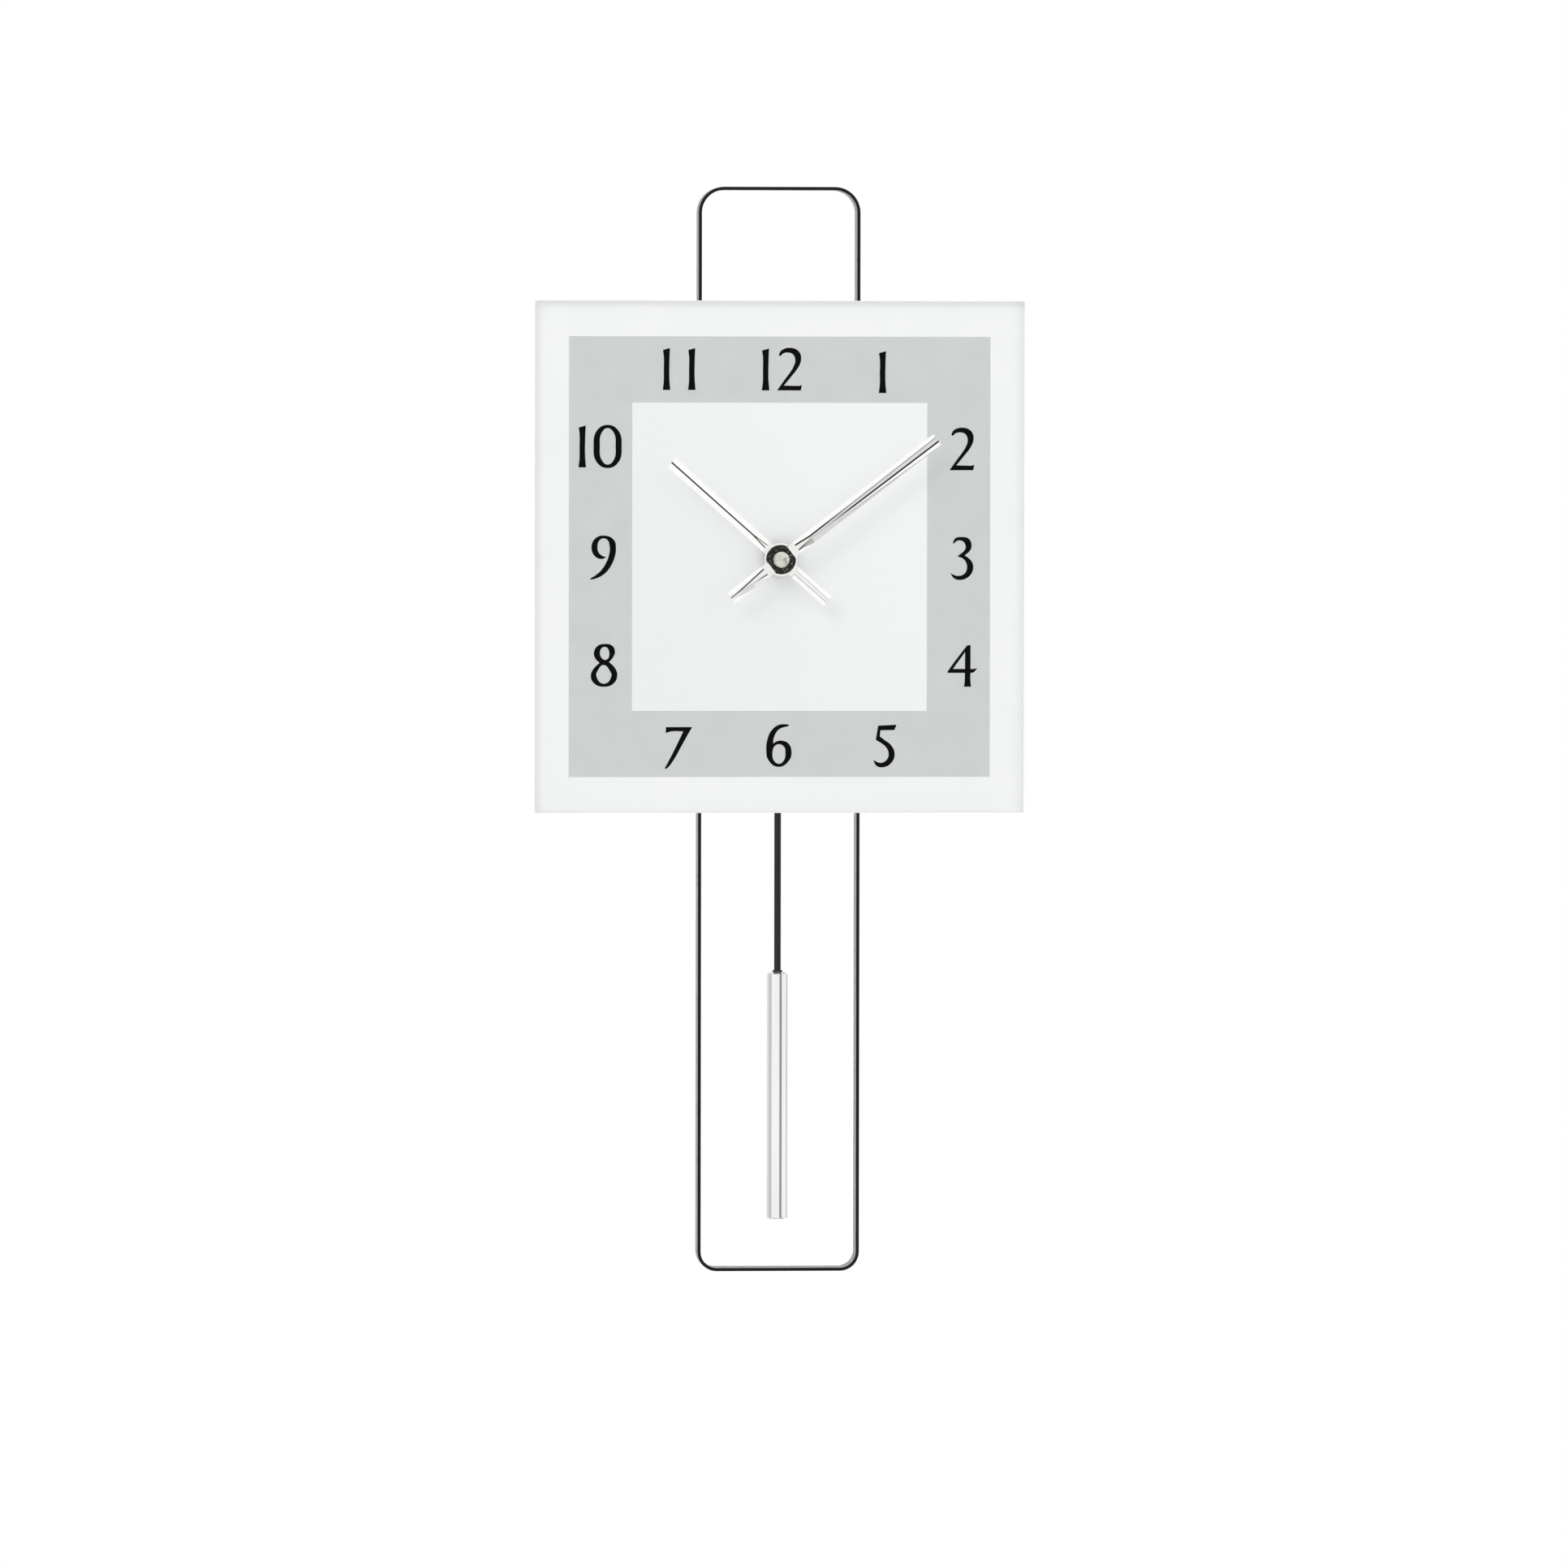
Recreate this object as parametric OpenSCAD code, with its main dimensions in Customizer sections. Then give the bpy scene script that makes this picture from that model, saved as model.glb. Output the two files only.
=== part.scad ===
// Radio-controlled wall clock: a glass dial clamped to a tall bent steel loop, with a pendulum
// that swings inside the loop. The origin is the middle of the wall screw's keyhole, on the wall.
// X points right, Z up, and the front faces -Y. A depth s is counted backwards from the front
// face of the glass, and x and z are counted from the arbor that carries the hands.

/* [Dial glass] */
// Width of the glass
glass_w = 230; // [200:2:260]
// Height of the glass
glass_h = 240; // [224:2:280]
// Thickness of the glass
glass_t = 4; // [3:0.5:5]
// Bevel ground along the edges of the glass
glass_bevel = 0.7; // [0.3:0.1:1.2]
// Height of the glass centre above the arbor
glass_rise = 1.2; // [0:0.2:4]
// Thickness of the pale sheet behind the glass
backing_t = 0.5; // [0.4:0.1:1]
// Distance from the edge of the glass to the edge of the pale sheet
backing_inset = 0.6; // [0.4:0.1:2]
// Clear border beside the grey band
border_side = 16; // [10:0.5:20]
// Clear border above and below the grey band
border_top = 16.8; // [10:0.2:20]
// Width of the grey band at the sides
band_side = 29.7; // [24:0.1:32]
// Width of the grey band above and below
band_top = 31; // [24:0.2:34]
// Thickness of the grey band's foil
band_t = 0.2; // [0.1:0.1:0.3]
// Thickness of the foam tape that holds the dial
tape_t = 1; // [0.6:0.1:1.5]
// Width of each strip of foam tape
tape_w = 18; // [12:1:22]

/* [Frame loop] */
// Outer width of the loop
frame_w = 76; // [74:1:90]
// Height of the loop above the glass
loop_above = 53.3; // [40:0.1:80]
// Depth of the loop below the glass
loop_below = 215.4; // [210:0.2:260]
// Thickness of the steel strip
strip_t = 1.5; // [1:0.1:2]
// Width of the steel strip, front to back
strip_d = 15; // [10:0.5:16]
// Inside radius of the two upper bends
bend_r = 10.5; // [5:0.5:14]
// Inside radius of the two lower bends
foot_bend_r = 7.5; // [5:0.5:14]

/* [Carrier plate] */
// Distance from the top and bottom edge of the glass to the carrier plate's ends
carrier_inset = 15; // [11:1:17]
// Sheet thickness of the carrier plate
carrier_t = 1.5; // [1.2:0.1:2]
// Inside radius of the carrier plate's folds
fold_r = 1; // [0.5:0.1:1.5]
// Distance from the ends of the carrier plate to the rivets
rivet_inset = 15; // [10:0.5:16]
// Rivet shank diameter
rivet_d = 3.2; // [2.5:0.1:4]

/* [Wall mounting] */
// Gap between the wall and the front face of the glass
standoff = 44; // [43:0.5:60]
// Distance from the carrier plate's upper end down to the wall screw
hanger_drop = 36.2; // [30:0.2:44]
// Height of the hanger bracket
hanger_h = 44; // [36:1:50]
// Free space between the hanger bracket's feet and the carrier's flanges
foot_gap = 2; // [1:0.1:4]
// Width of each foot of the hanger bracket
foot_w = 9; // [8:0.5:9]
// Sheet thickness of the hanger bracket
hanger_t = 1.5; // [1.2:0.1:2]
// Diameter of the round part of the keyhole
key_head_d = 9; // [7:0.5:10]
// Width of the keyhole's slot
key_slot_w = 4.4; // [3.5:0.1:5]
// Length of the keyhole's slot above the round part's centre
key_slot_l = 10; // [7:0.5:14]
// Screw thread diameter on the bracket and the stand-offs
screw_d = 3; // [2.5:0.1:3.5]
// Screw head diameter
screw_head_d = 5.6; // [5:0.1:6.5]
// Screw head height
screw_head_h = 2; // [1.5:0.1:2.5]
// Diameter of the lower stand-offs
spacer_d = 8; // [6:0.5:9]
// Sideways place of the lower stand-offs
spacer_x = 24; // [22:0.5:26]
// Height of the lower stand-offs above the carrier plate's lower end
spacer_inset = 8.8; // [7.6:0.2:11]
// Thickness of the rubber ends
bumper_t = 3.2; // [2:0.2:5]
// Diameter of the rubber ends
bumper_d = 11; // [9:0.5:13]

/* [Movement case] */
// Free space between the movement case and the carrier's flanges
case_gap = 2; // [1:0.1:2.4]
// Height of the movement case above the arbor
case_top = 34; // [34:0.5:38]
// Depth of the movement case below the arbor
case_drop = 78; // [78:0.5:82]
// Depth of the front case, front to back
case_d = 17.5; // [17.5:0.5:20]
// Wall thickness of the case
case_wall = 1.5; // [1.2:0.1:2]
// Thickness of the rear cover
cover_t = 2; // [1.6:0.1:2.4]
// Corner radius of the case
case_r = 4; // [3:0.5:5]
// Thickness of the rubber sheet in front of the case
gasket_t = 1; // [0.6:0.1:1.5]
// Diameter of the self-tapping case screws
case_screw_d = 2; // [1.8:0.1:2.2]
// Diameter of the posts that take the case screws
case_post_d = 4.4; // [4:0.1:4.6]

/* [Arbor stack] */
// Diameter of the threaded bush
bush_d = 10; // [8:0.5:11]
// Length of the bush in front of the glass
bush_out = 3.4; // [3.2:0.1:4]
// Diameter of the bush's flange
bush_flange_d = 15; // [13:0.5:18]
// Diameter of the washer and the round nut on the glass
nut_d = 14; // [13:0.5:15]
// Height of the round nut
nut_t = 2; // [1.5:0.1:2.2]
// Height of the washer
washer_t = 1; // [0.6:0.1:1.2]
// Outer diameter of the hour pipe
hour_pipe_d = 5; // [4.4:0.1:5.4]
// Diameter of the minute arbor in the hour pipe
minute_arbor_d = 3.2; // [2.6:0.1:3.4]
// Depth in front of the glass of the hour hand's back
hour_hand_out = 4.2; // [4:0.1:5]
// Space between the two hands
hand_gap = 1.2; // [1:0.1:2]

/* [Wheel train] */
// Tooth size of the fine wheels, pitch diameter over teeth
fine_module = 0.4; // [0.38:0.01:0.42]
// Tooth size of the cannon pinion and the motion wheel
motion_module = 0.5; // [0.475:0.0125:0.525]
// Teeth of the hour wheel
hour_teeth = 48;
// Teeth of the motion wheel
motion_teeth = 36;
// Teeth of the cannon pinion and of the motion pinion
cannon_teeth = 12;
// Teeth of the minute wheel
minute_teeth = 64;
// Teeth of the intermediate wheel
inter_teeth = 60;
// Leaves of the intermediate pinion and the rotor pinion
pinion_leaves = 8;
// Thickness of the hour, motion and minute wheels
wheel_t = 1.2; // [1:0.1:1.3]
// Free space between neighbouring wheels
wheel_gap = 0.8; // [0.7:0.05:0.9]
// Diameter of the stud that carries the motion wheel
stud_d = 1.6; // [1.4:0.1:2]
// Diameter of the pivots of the moving arbors
pivot_d = 1.2; // [1:0.1:1.4]
// Thickness of the bridge that holds the rear pivots
bridge_t = 1.5; // [1.2:0.1:1.8]
// Angle from the right-hand side at which the motion wheel sits
motion_angle = 20; // [10:1:30]

/* [Motor] */
// Diameter of the rotor magnet
magnet_d = 6; // [5:0.1:6.4]
// Length of the rotor magnet
magnet_l = 3; // [2.5:0.1:3]
// Gap between magnet and stator
stator_gap = 0.6; // [0.3:0.05:0.8]
// Thickness of the stator sheet
stator_t = 1; // [0.8:0.1:1.2]
// Diameter of the motor coil
coil_d = 7.2; // [6.4:0.1:7.6]

/* [Electronics] */
// Width of the circuit board
board_w = 54; // [52:1:56]
// Height of the circuit board
board_h = 31; // [30:0.5:32]
// Thickness of the circuit board
board_t = 1.6; // [1:0.2:1.6]
// Depth of the board's lower edge below the arbor
board_drop = 53; // [52.5:0.1:53.5]
// Diameter of the ferrite rod
ferrite_d = 8; // [7:0.5:9]
// Length of the ferrite rod
ferrite_l = 46; // [40:1:48]
// Diameter of the antenna winding
antenna_d = 10; // [9.6:0.1:10.4]
// Length of the antenna winding
antenna_l = 24; // [16:1:28]
// Diameter of the battery
battery_d = 14.2; // [13.8:0.1:14.4]
// Length of the battery's body
battery_l = 49.2; // [48.5:0.1:49.6]

/* [Buttons] */
// Diameter of a push button
button_d = 3.6; // [3:0.1:4]
// Travel of a push button
button_travel = 0.8; // [0.6:0.1:1]
// Distance from one button to the next
button_pitch = 8; // [7.5:0.1:8.5]
// Sideways place of the buttons
button_x = 19; // [17:0.5:19.5]

/* [Pendulum drive] */
// Depth of the pendulum's pivot below the arbor
pivot_drop = 20; // [18:0.5:21]
// Distance from the pivot to the lever's magnet
lever_l = 42; // [40:0.5:43]
// Thickness of the lever
lever_t = 2; // [1.6:0.1:2.4]
// Diameter of the lever's axle
axle_d = 2; // [1.8:0.1:2.4]
// Diameter of the lever's magnet
lever_magnet_d = 8; // [7:0.5:9]
// Diameter of the drive coil
drive_coil_d = 16; // [14:0.5:17]
// Height of the drive coil
drive_coil_t = 3; // [2:0.2:3.2]

/* [Pendulum] */
// Diameter of the pendulum rod
rod_d = 3.2; // [2:0.1:3.4]
// Diameter of the bob
bob_d = 10; // [9:0.5:12]
// Length of the bob
bob_l = 116; // [100:1:120]
// Depth of the bob's top below the arbor
bob_drop = 194; // [180:1:200]
// Diameter of the black ferrule on the bob
ferrule_d = 4.7; // [4:0.1:6]
// Thickness of the strap that carries the rod
strap_t = 1; // [0.8:0.1:1.2]
// Width of the strap that carries the rod
strap_w = 6; // [5:0.5:8]

/* [Hands] */
// Length of the hour hand from the arbor to the tip
hour_l = 68.6; // [60:0.2:76]
// Length of the minute hand from the arbor to the tip
minute_l = 92.4; // [86:0.2:100]
// Length of the tails of both hands
tail_l = 29.5; // [20:0.5:36]
// Width of the hour hand
hour_w = 5.8; // [4.6:0.1:6.4]
// Width of the minute hand
minute_w = 6.2; // [4.6:0.1:6.4]
// Width of the minute hand's ridge at the tip
minute_ridge = 2.3; // [1.4:0.1:3]
// Distance from the arbor to the end of the hands' flat middle
hand_flat = 9.4; // [8.6:0.2:12]
// Distance from the arbor to the narrowest place of the hands' ridges
hand_waist = 17.4; // [14:0.2:22]
// Thickness of the hands at the ridge
hand_t = 1; // [0.8:0.05:1.1]
// Thickness of the hands at the edges
hand_edge_t = 0.35; // [0.2:0.05:0.6]
// Clock angle of the hour hand
hour_angle = -48.5; // [-180:0.5:180]
// Clock angle of the minute hand
minute_angle = 52.4; // [-180:0.1:180]
// Diameter of the hour hand's round boss
hour_boss_d = 15.6; // [14:0.1:17]
// Diameter of the black collar on the minute hand
collar_d = 13.7; // [12.6:0.1:14.4]
// Distance from the arbor to the collar's two flats
collar_flat = 5.8; // [5.2:0.1:6.2]
// Height of the black collar
collar_t = 1.2; // [0.8:0.1:1.4]
// Diameter of the domed cap
cap_d = 7.4; // [6:0.1:9]
// Height of the domed cap
cap_h = 1.9; // [1.4:0.1:2.6]

/* [Clearances] */
// Radial clearance of a turning or sliding fit
run_gap = 0.05; // [0.03:0.01:0.08]
// Radial clearance of a screw or pin in its hole
pass_gap = 0.1; // [0.05:0.05:0.2]
// Free space between a moving piece and its neighbour
free_gap = 0.4; // [0.3:0.05:0.5]

/* [Hidden] */
$fn = 48;
eps = 0.01;

// Depths behind the front face of the glass
backing_s = glass_t;
tape_s = backing_s + backing_t;
carrier_s = tape_s + tape_t;
gasket_s = carrier_s + carrier_t;
case_s = gasket_s + gasket_t;
cavity_s = case_s + case_wall;
cover_s = case_s + case_d;
back_s = cover_s + cover_t;
hour_wheel_s = cavity_s + 0.5;
motion_wheel_s = hour_wheel_s + wheel_t + wheel_gap;
cannon_s = motion_wheel_s - 0.2;
cannon_end_s = motion_wheel_s + wheel_t + wheel_gap;
minute_wheel_s = cannon_end_s + 0.6;
inter_wheel_s = minute_wheel_s + wheel_t + wheel_gap;
inter_wheel_t = 1;
bridge_s = inter_wheel_s + inter_wheel_t + free_gap;
board_s = bridge_s + 1;
board_back_s = board_s + board_t;
switch_h = 2;
lever_s = back_s + 0.5 + free_gap;
strap_s = lever_s + lever_t;
frame_mid_s = carrier_s + strip_d / 2;

// Widths and heights worked out from the driving sizes
inner_w = frame_w - 2 * strip_t;
case_w = inner_w - 2 * carrier_t - 2 * case_gap;
carrier_h = glass_h - 2 * carrier_inset;
hanger_rise = carrier_h / 2 + glass_rise - hanger_drop;
hanger_w = inner_w - 2 * (carrier_t + foot_w + foot_gap);
spacer_drop = carrier_h / 2 - glass_rise - spacer_inset;
glass_top = glass_rise + glass_h / 2;
glass_bottom = glass_rise - glass_h / 2;
loop_top = glass_top + loop_above;
loop_bottom = glass_bottom - loop_below;
loop_h = loop_top - loop_bottom;
loop_mid = (loop_top + loop_bottom) / 2;
band_w = glass_w - 2 * border_side;
band_h = glass_h - 2 * border_top;
case_h = case_top + case_drop;
case_mid = (case_top - case_drop) / 2;
rivet_z = carrier_h / 2 - rivet_inset;
pivot_z = -pivot_drop;
lever_magnet_z = pivot_z - lever_l;

// Places of the arbors, seen from the front
motion_dist = motion_module * (cannon_teeth + motion_teeth) / 2;
motion_pinion_module = 2 * motion_dist / (hour_teeth + cannon_teeth);
motion_x = motion_dist * cos(motion_angle);
motion_z = motion_dist * sin(motion_angle);
inter_dist = fine_module * (minute_teeth + pinion_leaves) / 2;
inter_angle = 180;
inter_x = inter_dist * cos(inter_angle);
inter_z = inter_dist * sin(inter_angle);
rotor_dist = fine_module * (inter_teeth + pinion_leaves) / 2;
rotor_angle = -90;
rotor_x = inter_x + rotor_dist * cos(rotor_angle);
rotor_z = inter_z + rotor_dist * sin(rotor_angle);

// Turn of each toothed wheel at rest, so that teeth stand in gaps
cannon_turn = 0;
motion_turn = meshed(motion_angle, cannon_turn, cannon_teeth, motion_teeth);
motion_pinion_turn = 0;
hour_turn = meshed(motion_angle + 180, motion_pinion_turn, cannon_teeth, hour_teeth);
minute_turn = 0;
inter_pinion_turn = meshed(inter_angle, minute_turn, minute_teeth, pinion_leaves);
inter_turn = 0;
rotor_turn = meshed(rotor_angle, inter_turn, inter_teeth, pinion_leaves);

// Sizes of small details
tooth_tip = 0.8;
tooth_root = 1.15;
tooth_fill = 0.85;
boss_d = 4;
boss_h = 2;
post_d = 4;
stator_post_d = 3;
peg_d = 2;
bay_gap = 1.4;
rib_t = 1.2;
battery_z = case_top - case_wall - bay_gap - battery_d / 2;
battery_mid_s = (cavity_s + cover_s) / 2;
bay_rib_z = battery_z - battery_d / 2 - bay_gap - 0.8;
saddle_x = 15;
antenna_z = antenna_d / 2 + 1.6 + case_wall - case_drop;
antenna_s = cavity_s + antenna_d / 2 + 1;
board_z = board_drop - board_h / 2;
board_top = board_h - board_drop;
coil_z = rotor_z - 13;
core_h = 2;
stator_s = minute_wheel_s - free_gap - stator_t;
magnet_s = stator_s + stator_t / 2 - magnet_l / 2;
button_s = board_back_s + switch_h + button_travel + 0.1;
button_z0 = board_top - 9;
axle_head_h = 1;
strap_drop = 85;
socket_h = 12;
rod_sink = 25;
hour_boss_s = -hour_hand_out - hand_t;
minute_back_s = hour_boss_s - hand_gap;
minute_boss_t = 0.8;
collar_back_s = minute_back_s - minute_boss_t;
collar_s = collar_back_s - collar_t;
arbor_tip_s = collar_s;
pad_inset = 8;
pad_margin = 3;
gasket_inset = 2;
hanger_screw_inset = 8;
rivet_head_rim = 1.4;
rivet_head_h = 1;
case_screw_grip = 10;
lip_w = 40;
lip_t = 1.2;
post_row_z = bay_rib_z - 2.5;
post_foot_z = 4.5 - case_drop;
case_screw_x = case_w / 2 - case_wall - case_post_d / 2 - 0.3;
case_screw_spots = [
    for (z = [post_row_z, post_foot_z], x = [-1, 1]) [x * case_screw_x, z]
];
bridge_w = 2 * (case_screw_x - case_post_d / 2 - 0.8);
bridge_top = bay_rib_z - 0.7;
bridge_bottom = -21;
bridge_r = 3;
bridge_window = [12, 16];
bridge_window_spot = [14, -4];
bridge_peg_x = bridge_w / 2 - 1.5;
bridge_pegs = [[-bridge_peg_x, post_row_z], [bridge_peg_x, post_row_z], [12, bridge_bottom + 3]];
board_peg_x = board_w / 2 - 3;
board_foot_z = 3.5 - board_drop;
board_pegs = [
    [board_peg_x, board_top - 4], [-board_peg_x, board_top - 14],
    [board_peg_x, board_foot_z], [-board_peg_x, board_foot_z]
];
switch_spots = [for (i = [0:2]) [button_x, button_z0 - i * button_pitch]];

// The point x to the right of the arbor, s behind the glass face and z above the arbor
function spot(x, s, z) = [x, s - standoff, z - hanger_rise];

// Turn of a wheel with z2 teeth that meshes at angle phi with a wheel of z1 teeth turned by rho
function meshed(phi, rho, z1, z2) = phi + 180 - (rho - phi) * z1 / z2 - 180 / z2;

// Half angles of one tooth at its root, pitch line and tip
function tooth_half(teeth) = 90 / teeth * tooth_fill;

// Outline of a toothed wheel, six points to a tooth
function teeth_outline(teeth, size) = [
    for (i = [0:teeth - 1], side = [-1, 1], step = [0:2])
        let (
            level = side < 0 ? step : 2 - step,
            radius = size * (teeth / 2 + [-tooth_root, 0, tooth_tip][level]),
            spread = [teeth > 16 ? 1.25 : 1, 1, 0.45][level],
            angle = 360 * i / teeth + side * spread * tooth_half(teeth)
        )
        [radius * cos(angle), radius * sin(angle)]
];

// A flat outline, drawn with x to the right and y up, made solid between two depths
module slab(s0, s1) {
    translate(spot(0, s1, 0)) rotate([90, 0, 0]) linear_extrude(s1 - s0) children();
}

// A round bar from front to back
module bar(d, s0, s1, x = 0, z = 0) {
    translate(spot(x, s0, z)) rotate([-90, 0, 0]) cylinder(d = d, h = s1 - s0);
}

// A round bar from left to right
module cross_bar(d, x0, x1, s, z) {
    translate(spot(x0, s, z)) rotate([0, 90, 0]) cylinder(d = d, h = x1 - x0);
}

// A round bar that hangs down
module down_bar(d, z0, z1, s) {
    translate(spot(0, s, z0)) cylinder(d = d, h = z1 - z0);
}

// A half outline of radius and depth turned about a front-to-back axis
module spun(x = 0, z = 0) {
    translate(spot(x, 0, z)) rotate([-90, 0, 0]) rotate_extrude() children();
}

// A rectangle with round corners
module rounded(w, h, r) {
    square([w - 2 * r, h], center = true);
    square([w, h - 2 * r], center = true);
    for (x = [-1, 1], y = [-1, 1])
        translate([x * (w / 2 - r), y * (h / 2 - r)]) circle(r);
}

// A toothed wheel between two depths
module toothed(teeth, size, s0, s1, x, z, turn) {
    slab(s0, s1) translate([x, z]) rotate(turn) polygon(teeth_outline(teeth, size));
}

// Section of the glass: x across, y backwards from its front face, all four edges bevelled
module bevelled_outline(w) {
    b = glass_bevel;
    t = glass_t;
    polygon([
        [-w / 2, b], [b - w / 2, 0], [w / 2 - b, 0], [w / 2, b],
        [w / 2, t - b], [w / 2 - b, t], [b - w / 2, t], [-w / 2, t - b]
    ]);
}

module dial_glass() {
    color("gainsboro") difference() {
        translate(spot(0, 0, glass_rise)) intersection() {
            translate([0, 0, -glass_h / 2]) linear_extrude(glass_h) bevelled_outline(glass_w);
            translate([-glass_w / 2, 0, 0]) rotate([90, 0, 90]) linear_extrude(glass_w)
                mirror([1, -1]) bevelled_outline(glass_h);
        }
        bar(bush_d + 2 * pass_gap, -eps, glass_t + eps);
    }
}

// Outer and inner outline of the grey band
module band_outline() {
    difference() {
        square([band_w, band_h], center = true);
        square([band_w - 2 * band_side, band_h - 2 * band_top], center = true);
    }
}

module dial_backing() {
    color("whitesmoke") difference() {
        slab(backing_s, tape_s) translate([0, glass_rise])
            square([glass_w - 2 * backing_inset, glass_h - 2 * backing_inset], center = true);
        slab(backing_s - eps, backing_s + band_t) translate([0, glass_rise]) band_outline();
        bar(bush_d + 2 * pass_gap, backing_s - eps, tape_s + eps);
    }
}

module dial_band() {
    color("silver") slab(backing_s, backing_s + band_t) translate([0, glass_rise])
        band_outline();
}

module adhesive_pads() {
    pad_h = carrier_h - 2 * pad_inset;
    pad_x = inner_w / 2 - tape_w / 2 - pad_margin;
    color("ivory") slab(tape_s, carrier_s) for (side = [-1, 1])
        translate([side * pad_x, glass_rise]) rounded(tape_w, pad_h, 1);
}

// A tall rectangle whose upper and lower corners have their own radii
module loop_outline(w, h, upper_r, lower_r) {
    translate([0, (lower_r - upper_r) / 2]) square([w, h - upper_r - lower_r], center = true);
    translate([0, (h - upper_r) / 2]) square([w - 2 * upper_r, upper_r], center = true);
    translate([0, (lower_r - h) / 2]) square([w - 2 * lower_r, lower_r], center = true);
    for (x = [-1, 1]) {
        translate([x * (w / 2 - upper_r), h / 2 - upper_r]) circle(upper_r);
        translate([x * (w / 2 - lower_r), lower_r - h / 2]) circle(lower_r);
    }
}

module frame_strip() {
    color([0.12, 0.12, 0.13]) difference() {
        slab(carrier_s, carrier_s + strip_d) translate([0, loop_mid]) difference() {
            loop_outline(frame_w, loop_h, bend_r + strip_t, foot_bend_r + strip_t);
            loop_outline(inner_w, loop_h - 2 * strip_t, bend_r, foot_bend_r);
        }
        for (side = [-1, 1]) rivet_bore(side);
    }
}

// Hole for a rivet through the loop and the carrier's flange
module rivet_bore(side) {
    for (x = [-1, 1])
        cross_bar(rivet_d + 2 * pass_gap, x * frame_w / 2 - 4, x * frame_w / 2 + 4,
            frame_mid_s, glass_rise + side * rivet_z);
}

// Section of the folded carrier, x across and y backwards from its front face
module carrier_section() {
    r = fold_r + carrier_t;
    difference() {
        union() {
            translate([-inner_w / 2 + r, 0]) square([inner_w - 2 * r, strip_d]);
            translate([-inner_w / 2, r]) square([inner_w, strip_d - r]);
            for (x = [-1, 1]) translate([x * (inner_w / 2 - r), r]) circle(r);
        }
        translate([-inner_w / 2 + r, carrier_t]) square([inner_w - 2 * r, strip_d]);
        translate([carrier_t - inner_w / 2, r]) square([inner_w - 2 * carrier_t, strip_d]);
        for (x = [-1, 1]) translate([x * (inner_w / 2 - r), r]) circle(fold_r);
    }
}

module carrier_plate() {
    color("lightsteelblue") difference() {
        translate(spot(0, carrier_s, glass_rise - carrier_h / 2)) linear_extrude(carrier_h)
            carrier_section();
        bar(bush_d + 2 * pass_gap, carrier_s - eps, gasket_s + eps);
        for (side = [-1, 1]) rivet_bore(side);
        for (p = hanger_screw_spots())
            bar(screw_d + 2 * pass_gap, carrier_s - eps, gasket_s + eps, p[0], p[1]);
        for (x = [-1, 1])
            bar(screw_d + 2 * pass_gap, carrier_s - eps, gasket_s + eps,
                x * spacer_x, -spacer_drop);
    }
}

module frame_rivets() {
    shank = strip_t + carrier_t;
    r = rivet_d / 2;
    rim = rivet_head_rim;
    h = rivet_head_h;
    color("dimgray") for (side = [-1, 1], x = [-1, 1])
        translate(spot(x * frame_w / 2, frame_mid_s, glass_rise + side * rivet_z))
            rotate([0, -x * 90, 0]) rotate_extrude() polygon([
                [0, -h], [r + rim * 0.4, -h], [r + rim, -h * 0.4], [r + rim, 0], [r, 0],
                [r, shank], [r + rim / 2, shank], [r + rim / 2, shank + h],
                [r + rim * 0.2, shank + 1.6 * h], [0, shank + 1.6 * h]
            ]);
}

// Places of the four screws of the hanger bracket
function hanger_screw_spots() = [
    for (x = [-1, 1], z = [-1, 1])
        [x * (hanger_w / 2 + foot_w / 2), hanger_rise + z * (hanger_h / 2 - hanger_screw_inset)]
];

// Section of the hat-shaped bracket, x across and y backwards from the carrier
module hat_section() {
    h = standoff - gasket_s;
    t = hanger_t;
    r = 2 + t;
    outer = hanger_w / 2;
    difference() {
        union() {
            translate([-outer, 0]) square([2 * outer, h - r]);
            translate([r - outer, h - r - eps]) square([2 * (outer - r), r + eps]);
            for (x = [-1, 1]) translate([x * (outer - r), h - r]) circle(r);
            translate([-outer - foot_w, 0]) square([2 * (outer + foot_w), t]);
        }
        translate([t - outer, -eps]) square([2 * (outer - t), h - r + eps]);
        translate([r - outer, h - r - 2 * eps]) square([2 * (outer - r), r - t + 2 * eps]);
        for (x = [-1, 1]) translate([x * (outer - r), h - r]) circle(r - t);
    }
}

module hanger_bracket() {
    color("lightgray") difference() {
        translate(spot(0, gasket_s, hanger_rise - hanger_h / 2)) linear_extrude(hanger_h)
            hat_section();
        bar(key_head_d, standoff - hanger_t - eps, standoff + eps, 0, hanger_rise);
        bar(key_slot_w, standoff - hanger_t - eps, standoff + eps, 0, hanger_rise + key_slot_l);
        slab(standoff - hanger_t - eps, standoff + eps)
            translate([-key_slot_w / 2, hanger_rise]) square([key_slot_w, key_slot_l]);
        for (p = hanger_screw_spots())
            bar(screw_d + 2 * pass_gap, gasket_s - eps, gasket_s + hanger_t + eps, p[0], p[1]);
    }
}

// A domed-head screw whose head rests at depth s and whose thread runs forward
module dome_screw(thread_d, head_d, head_h, s, length, x, z) {
    spun(x, z) polygon([
        [0, s - length], [thread_d / 2, s - length], [thread_d / 2, s], [head_d / 2, s],
        [head_d / 2, s + head_h * 0.5], [head_d * 0.42, s + head_h * 0.8],
        [head_d * 0.25, s + head_h], [0, s + head_h]
    ]);
}

module hanger_screws() {
    color("silver") for (p = hanger_screw_spots())
        dome_screw(screw_d, screw_head_d, screw_head_h, gasket_s + hanger_t,
            hanger_t + carrier_t, p[0], p[1]);
}

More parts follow.
